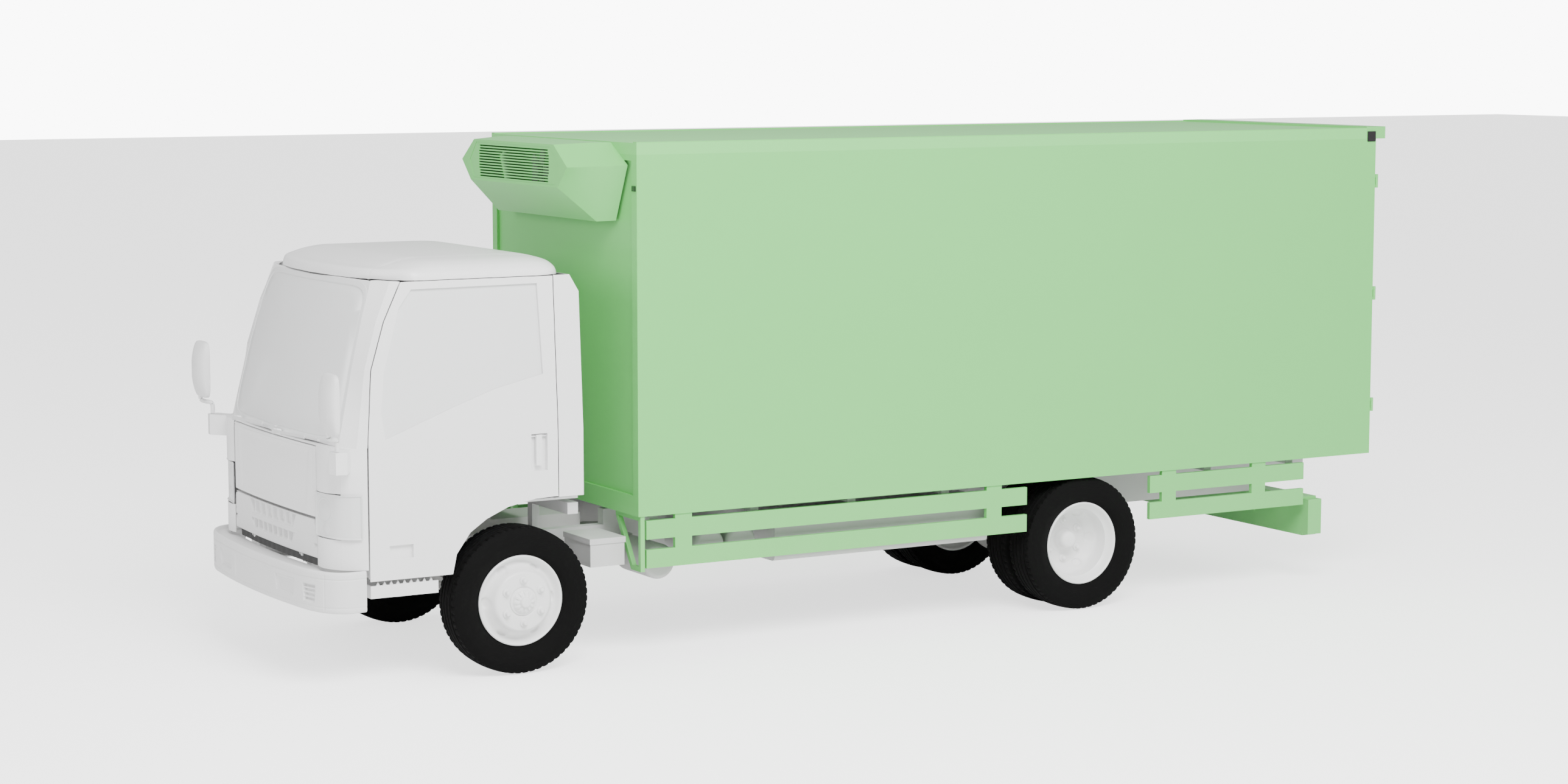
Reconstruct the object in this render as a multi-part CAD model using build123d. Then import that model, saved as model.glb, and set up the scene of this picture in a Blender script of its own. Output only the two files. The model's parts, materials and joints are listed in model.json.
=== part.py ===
from build123d import *
import math
import os

# Forward-control light delivery truck with a refrigerated box body.
# Modelled about the front axle: x runs forward from the axle line, y to the truck's left,
# z up from the ground.  Every solid is shifted along x at the end, so that the origin of
# the written parts is on the ground at the middle of the truck's length and width.

# ---- driving dimensions, millimetres ------------------------------------------------
# wheels and axles
TYRE_RADIUS = 383.5
TYRE_WIDTH = 211
RIM_FLANGE_RADIUS = 235
BEAD_RADIUS = 222
RIM_WALL = 8
RIM_HALF_WIDTH = 88
DISC_THICKNESS = 10
STUD_CIRCLE_RADIUS = 111.125
STUD_COUNT = 6
WHEELBASE = 3540
FRONT_WHEEL_Y = 795
REAR_DUAL_Y = 657.5
DUAL_SPACING = 235
KINGPIN_Y = 700
KINGPIN_RADIUS = 15
SPINDLE_RADIUS = 30
REAR_SPINDLE_RADIUS = 45
STEERING_ARM = 150
RUNNING_FIT = 0.05
SLIDE_GAP = 0.3

# ladder frame
RAIL_BOTTOM = 505
RAIL_HEIGHT = 145
RAIL_HALF_WIDTH = 375
RAIL_FLANGE = 65
RAIL_WALL = 7
RAIL_FRONT_X = 930
RAIL_REAR_X = -5170

# cargo body
BODY_GAP = 676
BODY_LENGTH = 4956
BODY_WIDTH = 1786
BODY_BOTTOM = 765
BODY_HEIGHT = 1951
PANEL = 60
FLOOR_UNDERSIDE = 800
FLOOR_THICKNESS = 70
SKIRT_WALL = 30
HEADER_HEIGHT = 92
BULKHEAD_RECESS = 15
CAP_OVERHANG = 71
CAP_RISE = 12
CARGO_DOOR_THICKNESS = 50
DOOR_GAP = 2

# side guards and rear underrun guard
GUARD_Y = 886
GUARD_THICKNESS = 25
GUARD_POST_WIDTH = 100
UPPER_RAIL_Z = (640, 740)
LOWER_RAIL_Z = (487, 585)
FRONT_GUARD_X = (-3140, -726)
REAR_GUARD_X = (-5135, -4000)
FRONT_GUARD_POSTS = (-947, -2918)
REAR_GUARD_POSTS = (-4137, -4795)
UNDERRUN_X = -5176
UNDERRUN_DEPTH = 100
UNDERRUN_Z = (290, 524)

# cab
SIDE_Y = 870
BELT_Z = 1250
CAB_TOP_Z = 2048
CAB_TOP_Y = 820
CAB_REAR_X = -370
DOOR_REAR_X = -224
DOOR_GAP_X = 5
SKIN = 4
DOOR_DEPTH = 45
DOOR_RING = 42
CAB_FLOOR_Z = 665
CAB_FLOOR_WALL = 8
DECK_Z = 880
COWL_Z = 1221
COWL_WALL = 6
LID_HALF_WIDTH = 592
LID_BOTTOM_Z = 850
LID_EDGE = 12
GRILLE_BOTTOM_Z = 640
CORNER_BOTTOM_Z = 612
NOSE_X = 1012
NOSE_SAGITTA = 20
TILT_X = 965
TILT_Z = 640
TILT_PIN_RADIUS = 12
ROOF_TOP_Z = 2150
LID_HINGE_X = 1008
LID_HINGE_Z = 1222
BULKHEAD_FACE_X = 958

# bumper
BUMPER_FRONT_X = 1130
BUMPER_HALF_WIDTH = 885
BUMPER_Z = (400, 612)
BUMPER_REAR_X = 845
BUMPER_WALL = 5
BUMPER_SHELF_DEPTH = 95
BRACKET_HOLE_SPACING = 350
BRACKET_HOLE_RADIUS = 4

AXLE_Z = TYRE_RADIUS
REAR_X = -WHEELBASE
BODY_FRONT_X = -BODY_GAP
BODY_REAR_X = BODY_FRONT_X - BODY_LENGTH
BODY_HALF = BODY_WIDTH / 2
BODY_INNER = BODY_HALF - PANEL
BODY_TOP = BODY_BOTTOM + BODY_HEIGHT
FLOOR_TOP = FLOOR_UNDERSIDE + FLOOR_THICKNESS
ROOF_UNDERSIDE = BODY_TOP - PANEL
RAIL_TOP = RAIL_BOTTOM + RAIL_HEIGHT
CAP_REAR_X = BODY_REAR_X - CAP_OVERHANG
FRAME_SHIFT = -(BUMPER_FRONT_X + CAP_REAR_X) / 2

nodes = {}


# ---- small building helpers ----------------------------------------------------------
def block(x0, x1, y0, y1, z0, z1):
    centre = Pos((x0 + x1) / 2, (y0 + y1) / 2, (z0 + z1) / 2)
    return centre * Box(abs(x1 - x0), abs(y1 - y0), abs(z1 - z0))


def mirrored(shape):
    return mirror(shape, about=Plane.XZ)


def pair(*shapes):
    """Each shape with its copy on the other side of the truck."""
    both = []
    for shape in shapes:
        both.append(shape)
        both.append(mirrored(shape))
    return both


def prism_x(outline, x0, x1):
    face = make_face(Polyline(*[(x0, y, z) for y, z in outline], close=True))
    return extrude(face, amount=x1 - x0, dir=(1, 0, 0))


def prism_y(outline, y0, y1):
    face = make_face(Polyline(*[(x, y0, z) for x, z in outline], close=True))
    return extrude(face, amount=y1 - y0, dir=(0, 1, 0))


def prism_z(outline, z0, z1):
    face = make_face(Polyline(*[(x, y, z0) for x, y in outline], close=True))
    return extrude(face, amount=z1 - z0, dir=(0, 0, 1))


def rod(radius, start, end):
    """A round bar between two points."""
    axis = Vector(*end) - Vector(*start)
    plane = Plane(origin=start, z_dir=axis)
    return extrude(plane * Circle(radius), amount=axis.length)


def turned(profile):
    """A solid of revolution about the y axis from (radius, y) points."""
    face = make_face(Polyline(*[(r, y, 0) for r, y in profile], close=True))
    return revolve(face, axis=Axis.Y)


def add(name, *shapes):
    nodes.setdefault(name, []).extend(shapes)


# ---- wheels --------------------------------------------------------------------------
def tyre():
    """Hollow radial tyre about the y axis: crowned tread, bulged walls, two beads."""
    half = TYRE_WIDTH / 2
    seat = RIM_HALF_WIDTH - RIM_WALL - SLIDE_GAP
    shoulder_r = TYRE_RADIUS - 5
    wall_r = (TYRE_RADIUS + BEAD_RADIUS) / 2
    tread = ThreePointArc((shoulder_r, -half * 0.86), (TYRE_RADIUS, 0), (shoulder_r, half * 0.86))
    upper = ThreePointArc((shoulder_r, half * 0.86), (wall_r, half), (RIM_FLANGE_RADIUS + 6, seat))
    lower = ThreePointArc((shoulder_r, -half * 0.86), (wall_r, -half), (RIM_FLANGE_RADIUS + 6, -seat))
    toe = seat - 16
    cavity = ThreePointArc((BEAD_RADIUS, toe), (TYRE_RADIUS - 18, 0), (BEAD_RADIUS, -toe))
    lines = Polyline((RIM_FLANGE_RADIUS + 6, seat), (BEAD_RADIUS, seat), (BEAD_RADIUS, toe))
    lines2 = Polyline((RIM_FLANGE_RADIUS + 6, -seat), (BEAD_RADIUS, -seat), (BEAD_RADIUS, -toe))
    face = make_face(Wire([*tread.edges(), *upper.edges(), *lower.edges(), *cavity.edges(),
                           *lines.edges(), *lines2.edges()]))
    return revolve(face, axis=Axis.Y)


def rim():
    """Rolled rim with a dished disc; the disc's mounting face is half a dual spacing out."""
    w = RIM_HALF_WIDTH
    flange = w - RIM_WALL
    seat_r = BEAD_RADIUS - SLIDE_GAP
    well_r = seat_r - 20
    outer = [(RIM_FLANGE_RADIUS, w), (RIM_FLANGE_RADIUS, flange), (seat_r, flange),
             (seat_r, 60), (well_r, 45)]
    inner = [(well_r - RIM_WALL, 43), (seat_r - RIM_WALL, 60), (seat_r - RIM_WALL, flange), (225, w)]
    barrel = outer + [(r, -y) for r, y in reversed(outer)]
    barrel += [(r, -y) for r, y in reversed(inner)] + inner
    face_y = DUAL_SPACING / 2
    back_y = face_y - DISC_THICKNESS
    disc = [(60, back_y), (60, face_y), (146, face_y), (186, 66), (well_r - 2, 44),
            (well_r - 2, 30), (176, 52), (140, back_y)]
    return turned(barrel) + turned(disc)


def wheel_nuts(y0, y1):
    """Six hexagon nuts round the stud circle, about the y axis."""
    nuts = []
    for index in range(STUD_COUNT):
        angle = 2 * math.pi * (index + 0.5) / STUD_COUNT
        x = STUD_CIRCLE_RADIUS * math.cos(angle)
        z = STUD_CIRCLE_RADIUS * math.sin(angle)
        corners = []
        for corner in range(6):
            turn = math.pi * corner / 3
            corners.append((x + 18 * math.cos(turn), z + 18 * math.sin(turn)))
        nuts.append(prism_y(corners, y0, y1))
    return nuts


def hub(bore, inner_y, flange_y, disc_stack, bore_end, nose_end, drum_y, drum_back):
    """Hub casting with its brake drum, bored to run on the spindle."""
    flange_back = flange_y - 14
    profile = [(bore, inner_y), (72, inner_y), (72, drum_back - 12), (146, drum_back - 12),
               (146, drum_y), (162, drum_y), (162, drum_back), (72, drum_back),
               (72, flange_back), (135, flange_back), (135, flange_y),
               (60 - SLIDE_GAP, flange_y), (60 - SLIDE_GAP, flange_y + disc_stack + 6),
               (48, nose_end), (0, nose_end), (0, bore_end), (bore, bore_end)]
    return turned(profile)


def front_wheel():
    place = Pos(0, FRONT_WHEEL_Y, AXLE_Z)
    face_y = DUAL_SPACING / 2
    back_y = face_y - DISC_THICKNESS
    carrier = hub(SPINDLE_RADIUS + RUNNING_FIT, -30, back_y, DISC_THICKNESS,
                  back_y + 1, back_y + 50, -22, 45)
    solids = [rim(), carrier, *wheel_nuts(face_y, face_y + 22)]
    return place * tyre(), [place * solid for solid in solids]


def rear_wheels():
    """Dual wheels: the two discs meet back to back at the middle plane."""
    middle = Pos(REAR_X, REAR_DUAL_Y, AXLE_Z)
    offset = DUAL_SPACING / 2
    outer_rim = Pos(0, offset, 0) * mirror(rim(), about=Plane.XZ)
    inner_rim = Pos(0, -offset, 0) * rim()
    tyres = [Pos(0, offset, 0) * tyre(), Pos(0, -offset, 0) * tyre()]
    carrier = hub(REAR_SPINDLE_RADIUS + RUNNING_FIT, -100, -DISC_THICKNESS, 2 * DISC_THICKNESS,
                  30, 92, -172, -70)
    solids = [outer_rim, inner_rim, carrier, *wheel_nuts(DISC_THICKNESS, DISC_THICKNESS + 22)]
    return [middle * item for item in tyres], [middle * solid for solid in solids]


# ---- front axle and steering ----------------------------------------------------------
BOSS_Z = (326, 441)
LUG_HEIGHT = 40
ROD_Z = 314


def front_axle_beam():
    """Forged beam with a dropped middle, a boss at each end and a fixed kingpin."""
    low, high = BOSS_Z
    half = KINGPIN_Y - 40
    beam = prism_y([(-30, 290), (30, 290), (30, 365), (-30, 365)], -520, 520)
    knee = prism_x([(520, 290), (half, low + 5), (half, high - 5), (520, 365)], -30, 30)
    eye = rod(31, (0, KINGPIN_Y, low), (0, KINGPIN_Y, high))
    neck = block(-22, 22, half - 10, KINGPIN_Y, low + 5, high - 5)
    pin = rod(KINGPIN_RADIUS, (0, KINGPIN_Y, low - LUG_HEIGHT), (0, KINGPIN_Y, high + LUG_HEIGHT))
    end = knee + eye + neck + pin
    return beam + end + mirrored(end)


def knuckle():
    """Forked knuckle with the wheel spindle and the steering arm's ball stud."""
    low, high = BOSS_Z
    lug_low = block(-34, 34, 664, 740, low - LUG_HEIGHT, low - SLIDE_GAP)
    lug_high = block(-34, 34, 664, 740, high + SLIDE_GAP, high + LUG_HEIGHT)
    back = block(-34, 34, 733, 757, low - LUG_HEIGHT, high + LUG_HEIGHT)
    spindle = rod(SPINDLE_RADIUS, (0, 755, AXLE_Z), (0, 902, AXLE_Z))
    arm = block(-STEERING_ARM - 18, -30, 688, 712, low - LUG_HEIGHT, low - LUG_HEIGHT + 14)
    stud = rod(8, (-STEERING_ARM, KINGPIN_Y, 295), (-STEERING_ARM, KINGPIN_Y, ROD_Z + 14))
    bore = rod(KINGPIN_RADIUS + RUNNING_FIT, (0, KINGPIN_Y, 270), (0, KINGPIN_Y, 500))
    return lug_low + lug_high + back + spindle + arm + stud - bore


def tie_rod():
    """Track rod that joins the two steering arms, an eye on each ball stud."""
    reach = KINGPIN_Y - 12
    bar = rod(11, (-STEERING_ARM, -reach, ROD_Z), (-STEERING_ARM, reach, ROD_Z))
    for side in (-1, 1):
        y = side * KINGPIN_Y
        bar += rod(17, (-STEERING_ARM, y, ROD_Z - 13), (-STEERING_ARM, y, ROD_Z + 13))
    for side in (-1, 1):
        y = side * KINGPIN_Y
        bar -= rod(8 + RUNNING_FIT, (-STEERING_ARM, y, ROD_Z - 20), (-STEERING_ARM, y, ROD_Z + 20))
    return bar


# ---- frame, springs, rear axle ----------------------------------------------------------
SPRING_Y = RAIL_HALF_WIDTH - RAIL_FLANGE / 2
CROSS_MEMBERS = (700, -1300, -2350, -2950, -4250, -5100)


def chassis_frame():
    outer = RAIL_HALF_WIDTH
    inner = outer - RAIL_FLANGE
    section = [(outer, RAIL_BOTTOM), (outer, RAIL_TOP), (inner, RAIL_TOP),
               (inner, RAIL_TOP - RAIL_WALL), (outer - RAIL_WALL, RAIL_TOP - RAIL_WALL),
               (outer - RAIL_WALL, RAIL_BOTTOM + RAIL_WALL), (inner, RAIL_BOTTOM + RAIL_WALL),
               (inner, RAIL_BOTTOM)]
    rail = prism_x(section, RAIL_REAR_X, RAIL_FRONT_X)
    web = outer - RAIL_WALL
    members = []
    for x in CROSS_MEMBERS:
        members.append(block(x - 25, x + 25, -web, web, RAIL_TOP - 65, RAIL_TOP - RAIL_WALL))
    return pair(rail) + members


def leaf_pack(x, length, seat_z, leaves, camber):
    """Leaves as nested arcs, longest on top, with an eye at each end of the main leaf."""
    thickness = 10
    half = length / 2
    radius = (half * half + camber * camber) / (2 * camber)
    top_z = seat_z + leaves * (thickness + SLIDE_GAP)
    solids = []
    for index in range(leaves):
        reach = half * (1 - 0.2 * index)
        outer_r = radius + index * (thickness + SLIDE_GAP)
        inner_r = outer_r - thickness
        centre_z = top_z + radius - thickness
        outer_a = math.asin(reach / outer_r)
        inner_a = math.asin(reach / inner_r)
        y0 = SPRING_Y - 30

        def at(r, a):
            return (x + r * math.sin(a), y0, centre_z - r * math.cos(a))
        low = ThreePointArc(at(outer_r, -outer_a), at(outer_r, 0), at(outer_r, outer_a))
        high = ThreePointArc(at(inner_r, -inner_a), at(inner_r, 0), at(inner_r, inner_a))
        ends = [Line(low @ 0, high @ 0), Line(low @ 1, high @ 1)]
        face = make_face(Wire([*low.edges(), *high.edges(), *ends[0].edges(), *ends[1].edges()]))
        solids.append(extrude(face, amount=60, dir=(0, 1, 0)))
    return solids


def leaf_end_top(length, seat_z, leaves, camber):
    """Height of the main leaf's upper face at its ends."""
    half = length / 2
    radius = (half * half + camber * camber) / (2 * camber)
    top_z = seat_z + leaves * (10 + SLIDE_GAP)
    inner_r = radius - 10
    return top_z + inner_r - math.sqrt(inner_r * inner_r - half * half)


def spring_set(x, length, seat_z, leaves, camber, clamp_x, under_z):
    """One leaf pack with its hangers under the rail and its axle clamp."""
    solids = leaf_pack(x, length, seat_z, leaves, camber)
    low = SPRING_Y - 30
    high = SPRING_Y + 30
    top_z = seat_z + leaves * (10 + SLIDE_GAP)
    hanger_z = leaf_end_top(length, seat_z, leaves, camber) + 0.5
    for end in (-1, 1):
        end_x = x + end * (length / 2 - 5)
        solids.append(block(end_x - 25, end_x + 25, low, high, hanger_z, RAIL_BOTTOM))
    solids.append(block(x - clamp_x - 10, x + clamp_x + 10, low - 16, high + 16, top_z + 0.8, top_z + 9))
    solids.append(block(x - clamp_x - 10, x + clamp_x + 10, low - 16, high + 16, under_z - 12, under_z))
    for dx in (-clamp_x, clamp_x):
        for y in (low - 8, high + 8):
            solids.append(rod(6, (x + dx, y, under_z), (x + dx, y, top_z + 0.8)))
    return solids


SPRING_SEAT_Z = AXLE_Z + 56.5
FRONT_SPRING_SEAT_Z = 365


def rear_axle_housing():
    """Banjo casing with the final drive, seats for the springs, spindles and back plates."""
    centre = (REAR_X, 0, AXLE_Z)
    body = Pos(*centre) * Sphere(165)
    body += rod(50, (REAR_X, -471, AXLE_Z), (REAR_X, 471, AXLE_Z))
    nose = Vector(*centre) - PROP_DIRECTION * DIFF_NOSE
    body += rod(75, centre, (nose.X, nose.Y, nose.Z))
    spindle_end = REAR_DUAL_Y + 28
    for side in (-1, 1):
        body += rod(REAR_SPINDLE_RADIUS, (REAR_X, side * 460, AXLE_Z), (REAR_X, side * spindle_end, AXLE_Z))
        body += rod(158, (REAR_X, side * 470, AXLE_Z), (REAR_X, side * 481, AXLE_Z))
        y0, y1 = sorted((side * (SPRING_Y - 30), side * (SPRING_Y + 30)))
        body += block(REAR_X - 48, REAR_X + 48, y0, y1, AXLE_Z, SPRING_SEAT_Z)
    return body


# ---- engine, transmission and tanks ----------------------------------------------------
GEARBOX_OUT = (-1050, 0, 520)
DIFF_NOSE = 235
PROP_LINE = Vector(REAR_X, 0, AXLE_Z) - Vector(*GEARBOX_OUT)
PROP_DIRECTION = PROP_LINE.normalized()


def along_prop(distance):
    point = Vector(*GEARBOX_OUT) + PROP_DIRECTION * distance
    return (point.X, point.Y, point.Z)


def powertrain():
    """Engine on its mounts, gearbox behind it, and the radiator ahead."""
    web = RAIL_HALF_WIDTH - RAIL_WALL
    engine = block(-150, 330, -190, 190, 430, 760) + block(-120, 300, -110, 110, 755, 800)
    engine += block(-20, 60, 185, web, 560, 600)
    engine += block(-20, 60, -web, -185, 560, 600)
    gearbox = block(-700, -150, -150, 150, 420, 690) + rod(75, along_prop(-370), along_prop(0))
    core = RAIL_HALF_WIDTH - RAIL_FLANGE - 50
    radiator = block(470, 540, -core, core, 520, 860)
    radiator += block(490, 520, core - 5, web, 560, 590)
    radiator += block(490, 520, -web, 5 - core, 560, 590)
    return [engine, gearbox, radiator]


def propshaft():
    length = PROP_LINE.length - DIFF_NOSE
    shaft = rod(40, along_prop(SLIDE_GAP), along_prop(length - SLIDE_GAP))
    shaft += rod(62, along_prop(SLIDE_GAP), along_prop(14))
    shaft += rod(62, along_prop(length - 14), along_prop(length - SLIDE_GAP))
    return shaft


def air_tanks():
    tanks = []
    for x, z in ((-850, 500), (-1150, 560), (-1345, 560)):
        tank = rod(95, (x, 440, z), (x, 800, z))
        tank = fillet(tank.edges().filter_by(GeomType.CIRCLE), 25)
        tank += block(x - 20, x + 20, RAIL_HALF_WIDTH, 445, 540, 600)
        tanks.append(tank)
    return tanks


def fuel_tank():
    tank = block(-2930, -1550, 470, 800, 440, 690)
    tank = fillet(tank.edges().filter_by(Axis.X), 30)
    for x in (-2700, -1780):
        tank += block(x - 30, x + 30, RAIL_HALF_WIDTH, 475, 520, 620)
    return tank


def battery_box():
    box = block(-650, -450, 470, 780, 500, 620) + block(-655, -445, 465, 785, 620, 650)
    box += block(-600, -500, RAIL_HALF_WIDTH, 475, 520, 600)
    return box


def silencer():
    can = rod(100, (-900, -560, 470), (-1500, -560, 470))
    can += rod(32, (-700, -560, 470), (-905, -560, 470))
    can += rod(32, (-1495, -560, 470), (-2100, -560, 470))
    can += block(-1220, -1180, -465, -RAIL_HALF_WIDTH, 470, 530)
    return can


# ---- cargo body -------------------------------------------------------------------------
FLOOR_REAR = BODY_REAR_X + PANEL
OPENING_TOP = ROOF_UNDERSIDE - PANEL
BULKHEAD_X = BODY_FRONT_X - BULKHEAD_RECESS
WHEEL_ZONE = TYRE_RADIUS + 30
BEARER_PITCH = 610


def cargo_floor():
    """Floor slab on two long bearers and a row of cross bearers."""
    slab = block(FLOOR_REAR, BULKHEAD_X - PANEL, -BODY_INNER, BODY_INNER, FLOOR_UNDERSIDE, FLOOR_TOP)
    cross_z = FLOOR_UNDERSIDE - 65
    long_bearer = block(BODY_REAR_X + 80, -730, RAIL_HALF_WIDTH - RAIL_FLANGE, RAIL_HALF_WIDTH,
                        RAIL_TOP, cross_z)
    solids = [slab, *pair(long_bearer)]
    count = int((BODY_LENGTH - 200) / BEARER_PITCH)
    for index in range(count + 1):
        x = BODY_FRONT_X - 120 - index * BEARER_PITCH
        near_wheel = abs(x - REAR_X) < WHEEL_ZONE + 30
        reach = RAIL_HALF_WIDTH + 25 if near_wheel else BODY_INNER
        solids.append(block(x - 25, x + 25, -reach, reach, cross_z, FLOOR_UNDERSIDE))
    return solids


def cargo_walls():
    """Two insulated side walls and the front bulkhead; the floor butts up against all three."""
    side = block(FLOOR_REAR, BODY_FRONT_X - PANEL, BODY_INNER, BODY_HALF, FLOOR_UNDERSIDE, ROOF_UNDERSIDE)
    bulkhead = block(BULKHEAD_X - PANEL, BULKHEAD_X, -BODY_INNER, BODY_INNER, FLOOR_TOP, ROOF_UNDERSIDE)
    bulkhead += block(BULKHEAD_X - PANEL, BODY_FRONT_X - SKIRT_WALL, -BODY_INNER, BODY_INNER, FLOOR_UNDERSIDE,
                      FLOOR_TOP)
    return [*pair(side), bulkhead]


def cargo_roof():
    return block(BODY_REAR_X + PANEL + 12, BODY_FRONT_X, -BODY_HALF, BODY_HALF, ROOF_UNDERSIDE, BODY_TOP)


def body_edge_rails():
    """Front corner posts, front header, skirts under the walls and gutters on the roof."""
    post = block(BODY_FRONT_X - PANEL, BODY_FRONT_X, BODY_INNER, BODY_HALF, FLOOR_UNDERSIDE, ROOF_UNDERSIDE)
    header = block(BULKHEAD_X, BODY_FRONT_X, -BODY_INNER, BODY_INNER, BODY_TOP - HEADER_HEIGHT, ROOF_UNDERSIDE)
    skirt = block(FLOOR_REAR, BODY_FRONT_X, BODY_HALF - SKIRT_WALL, BODY_HALF, BODY_BOTTOM, FLOOR_UNDERSIDE)
    front = block(BODY_FRONT_X - SKIRT_WALL, BODY_FRONT_X, -BODY_HALF + SKIRT_WALL, BODY_HALF - SKIRT_WALL,
                  BODY_BOTTOM, FLOOR_UNDERSIDE)
    kick = block(BODY_FRONT_X - SKIRT_WALL, BODY_FRONT_X, -BODY_INNER, BODY_INNER, FLOOR_UNDERSIDE, FLOOR_TOP)
    gutter = block(BODY_REAR_X + PANEL + 12, BODY_FRONT_X, BODY_HALF - 40, BODY_HALF, BODY_TOP, BODY_TOP + 6)
    return [*pair(post, skirt, gutter), header, front, kick]


HINGE_PIN_X = BODY_REAR_X - 14
HINGE_PIN_Y = BODY_HALF - 3
HINGE_INSET = 190
LOW_HINGE_Z = FLOOR_TOP + HINGE_INSET
HIGH_HINGE_Z = OPENING_TOP - DOOR_GAP - HINGE_INSET
HINGE_HEIGHTS = (LOW_HINGE_Z, (LOW_HINGE_Z + HIGH_HINGE_Z) / 2, HIGH_HINGE_Z)
KNUCKLE_HEIGHT = 40


def rear_door_frame():
    """Posts, sill and header round the opening, the rain cap and the hinge pins."""
    post = block(BODY_REAR_X, FLOOR_REAR, BODY_INNER, BODY_HALF, FLOOR_TOP, ROOF_UNDERSIDE)
    sill = block(BODY_REAR_X, FLOOR_REAR, -BODY_HALF, BODY_HALF, BODY_BOTTOM, FLOOR_TOP)
    header = block(BODY_REAR_X, FLOOR_REAR, -BODY_INNER, BODY_INNER, OPENING_TOP, ROOF_UNDERSIDE)
    cap = block(CAP_REAR_X, BODY_REAR_X + PANEL + 12, -BODY_HALF, BODY_HALF, ROOF_UNDERSIDE,
                BODY_TOP + CAP_RISE)
    solids = [*pair(post), sill, header, cap]
    for z in HINGE_HEIGHTS:
        reach = KNUCKLE_HEIGHT / 2
        hinge = rod(5, (HINGE_PIN_X, HINGE_PIN_Y, z - 2 * reach), (HINGE_PIN_X, HINGE_PIN_Y, z + 2 * reach))
        for z0, z1 in ((z - 2 * reach, z - reach - SLIDE_GAP), (z + reach + SLIDE_GAP, z + 2 * reach)):
            hinge += rod(9, (HINGE_PIN_X, HINGE_PIN_Y, z0), (HINGE_PIN_X, HINGE_PIN_Y, z1))
            hinge += block(HINGE_PIN_X, BODY_REAR_X, HINGE_PIN_Y - 9, HINGE_PIN_Y, z0, z1)
        solids += pair(hinge)
    return solids


LOCK_ROD_Y = 410
LOCK_ROD_X = BODY_REAR_X - 26
LOCK_HANDLE_Z = 1300
LOCK_BRACKETS = (FLOOR_TOP + 90, LOCK_HANDLE_Z + 200, OPENING_TOP - 596, OPENING_TOP - 96)


def cargo_door():
    """Left leaf: insulated panel, three hinge straps and the lock rod's guide brackets."""
    low = FLOOR_TOP + DOOR_GAP
    high = OPENING_TOP - DOOR_GAP
    leaf = block(BODY_REAR_X, BODY_REAR_X + CARGO_DOOR_THICKNESS, DOOR_GAP, BODY_INNER - DOOR_GAP, low, high)
    reach = KNUCKLE_HEIGHT / 2
    for z in HINGE_HEIGHTS:
        strap = block(BODY_REAR_X - 8, BODY_REAR_X, 640, HINGE_PIN_Y - 4, z - reach, z + reach)
        strap += rod(9, (HINGE_PIN_X, HINGE_PIN_Y, z - reach), (HINGE_PIN_X, HINGE_PIN_Y, z + reach))
        strap += block(HINGE_PIN_X - 6, BODY_REAR_X - 2, HINGE_PIN_Y - 12, HINGE_PIN_Y - 4, z - reach, z + reach)
        strap -= block(BODY_REAR_X - 1, BODY_REAR_X + 20, BODY_INNER - 3, BODY_HALF + 20, z - 50, z + 50)
        strap -= rod(5 + RUNNING_FIT, (HINGE_PIN_X, HINGE_PIN_Y, z - 50), (HINGE_PIN_X, HINGE_PIN_Y, z + 50))
        leaf += strap
    for z in LOCK_BRACKETS:
        guide = block(LOCK_ROD_X - 20, BODY_REAR_X, LOCK_ROD_Y - 25, LOCK_ROD_Y + 25, z - 20, z + 20)
        guide -= rod(13 + RUNNING_FIT, (LOCK_ROD_X, LOCK_ROD_Y, z - 30), (LOCK_ROD_X, LOCK_ROD_Y, z + 30))
        leaf += guide
    return leaf


def lock_rod():
    """Vertical locking tube with its flat handle, lying against the door."""
    tube = rod(13, (LOCK_ROD_X, LOCK_ROD_Y, FLOOR_TOP + 20), (LOCK_ROD_X, LOCK_ROD_Y, OPENING_TOP - 20))
    return tube + block(LOCK_ROD_X - 6, LOCK_ROD_X + 6, LOCK_ROD_Y - 5, LOCK_ROD_Y + 280,
                        LOCK_HANDLE_Z - 16, LOCK_HANDLE_Z + 16)


# ---- condenser unit on the bulkhead ------------------------------------------------------
FAN_Z = BODY_TOP - 171
FAN_RADIUS = 120


def unit_section(x, inset, levels):
    """Six-sided section across the unit; levels are (half width, depth below the roof's top)."""
    levels = [(half, BODY_TOP - depth) for half, depth in levels]
    outline = []
    middle_z = (levels[0][1] + levels[-1][1]) / 2
    for half, z in levels:
        outline.append((x, half - inset, z - math.copysign(inset, z - middle_z)))
    ring = outline + [(x, -y, z) for x, y, z in reversed(outline)]
    return make_face(Polyline(*ring, close=True))


def unit_shape(inset, front_x, back_x):
    front = unit_section(front_x, inset, [(500, 14), (662, 128), (548, 238)])
    middle = unit_section(BODY_FRONT_X + 92, inset, [(585, 4), (748, 122), (610, 416)])
    back = unit_section(back_x, inset, [(600, 4), (792, 116), (655, 411)])
    return loft([front, middle, back], ruled=True)


UNIT_FRONT_X = BODY_FRONT_X + 286
LOUVRE_MIDDLE_Z = BODY_TOP - 128
LOUVRE_OUTLINE = [(470, LOUVRE_MIDDLE_Z + 100), (560, LOUVRE_MIDDLE_Z), (510, LOUVRE_MIDDLE_Z - 96)]


def louvre_prism(margin, x0, x1):
    right = [(y - margin, z - math.copysign(margin, z - LOUVRE_MIDDLE_Z) * (z != LOUVRE_MIDDLE_Z))
             for y, z in LOUVRE_OUTLINE]
    return prism_x(right + [(-y, z) for y, z in reversed(right)], x0, x1)


def condenser_case():
    """Moulded shell against the bulkhead, open where the louvres sit, with the fan motor."""
    shell = unit_shape(0, UNIT_FRONT_X, BODY_FRONT_X)
    shell -= unit_shape(6, UNIT_FRONT_X - 8, BODY_FRONT_X - 1)
    shell -= louvre_prism(0, UNIT_FRONT_X - 60, UNIT_FRONT_X + 10)
    motor = rod(45, (BULKHEAD_X, 0, FAN_Z), (BODY_FRONT_X + 110, 0, FAN_Z))
    return [shell, motor]


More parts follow.
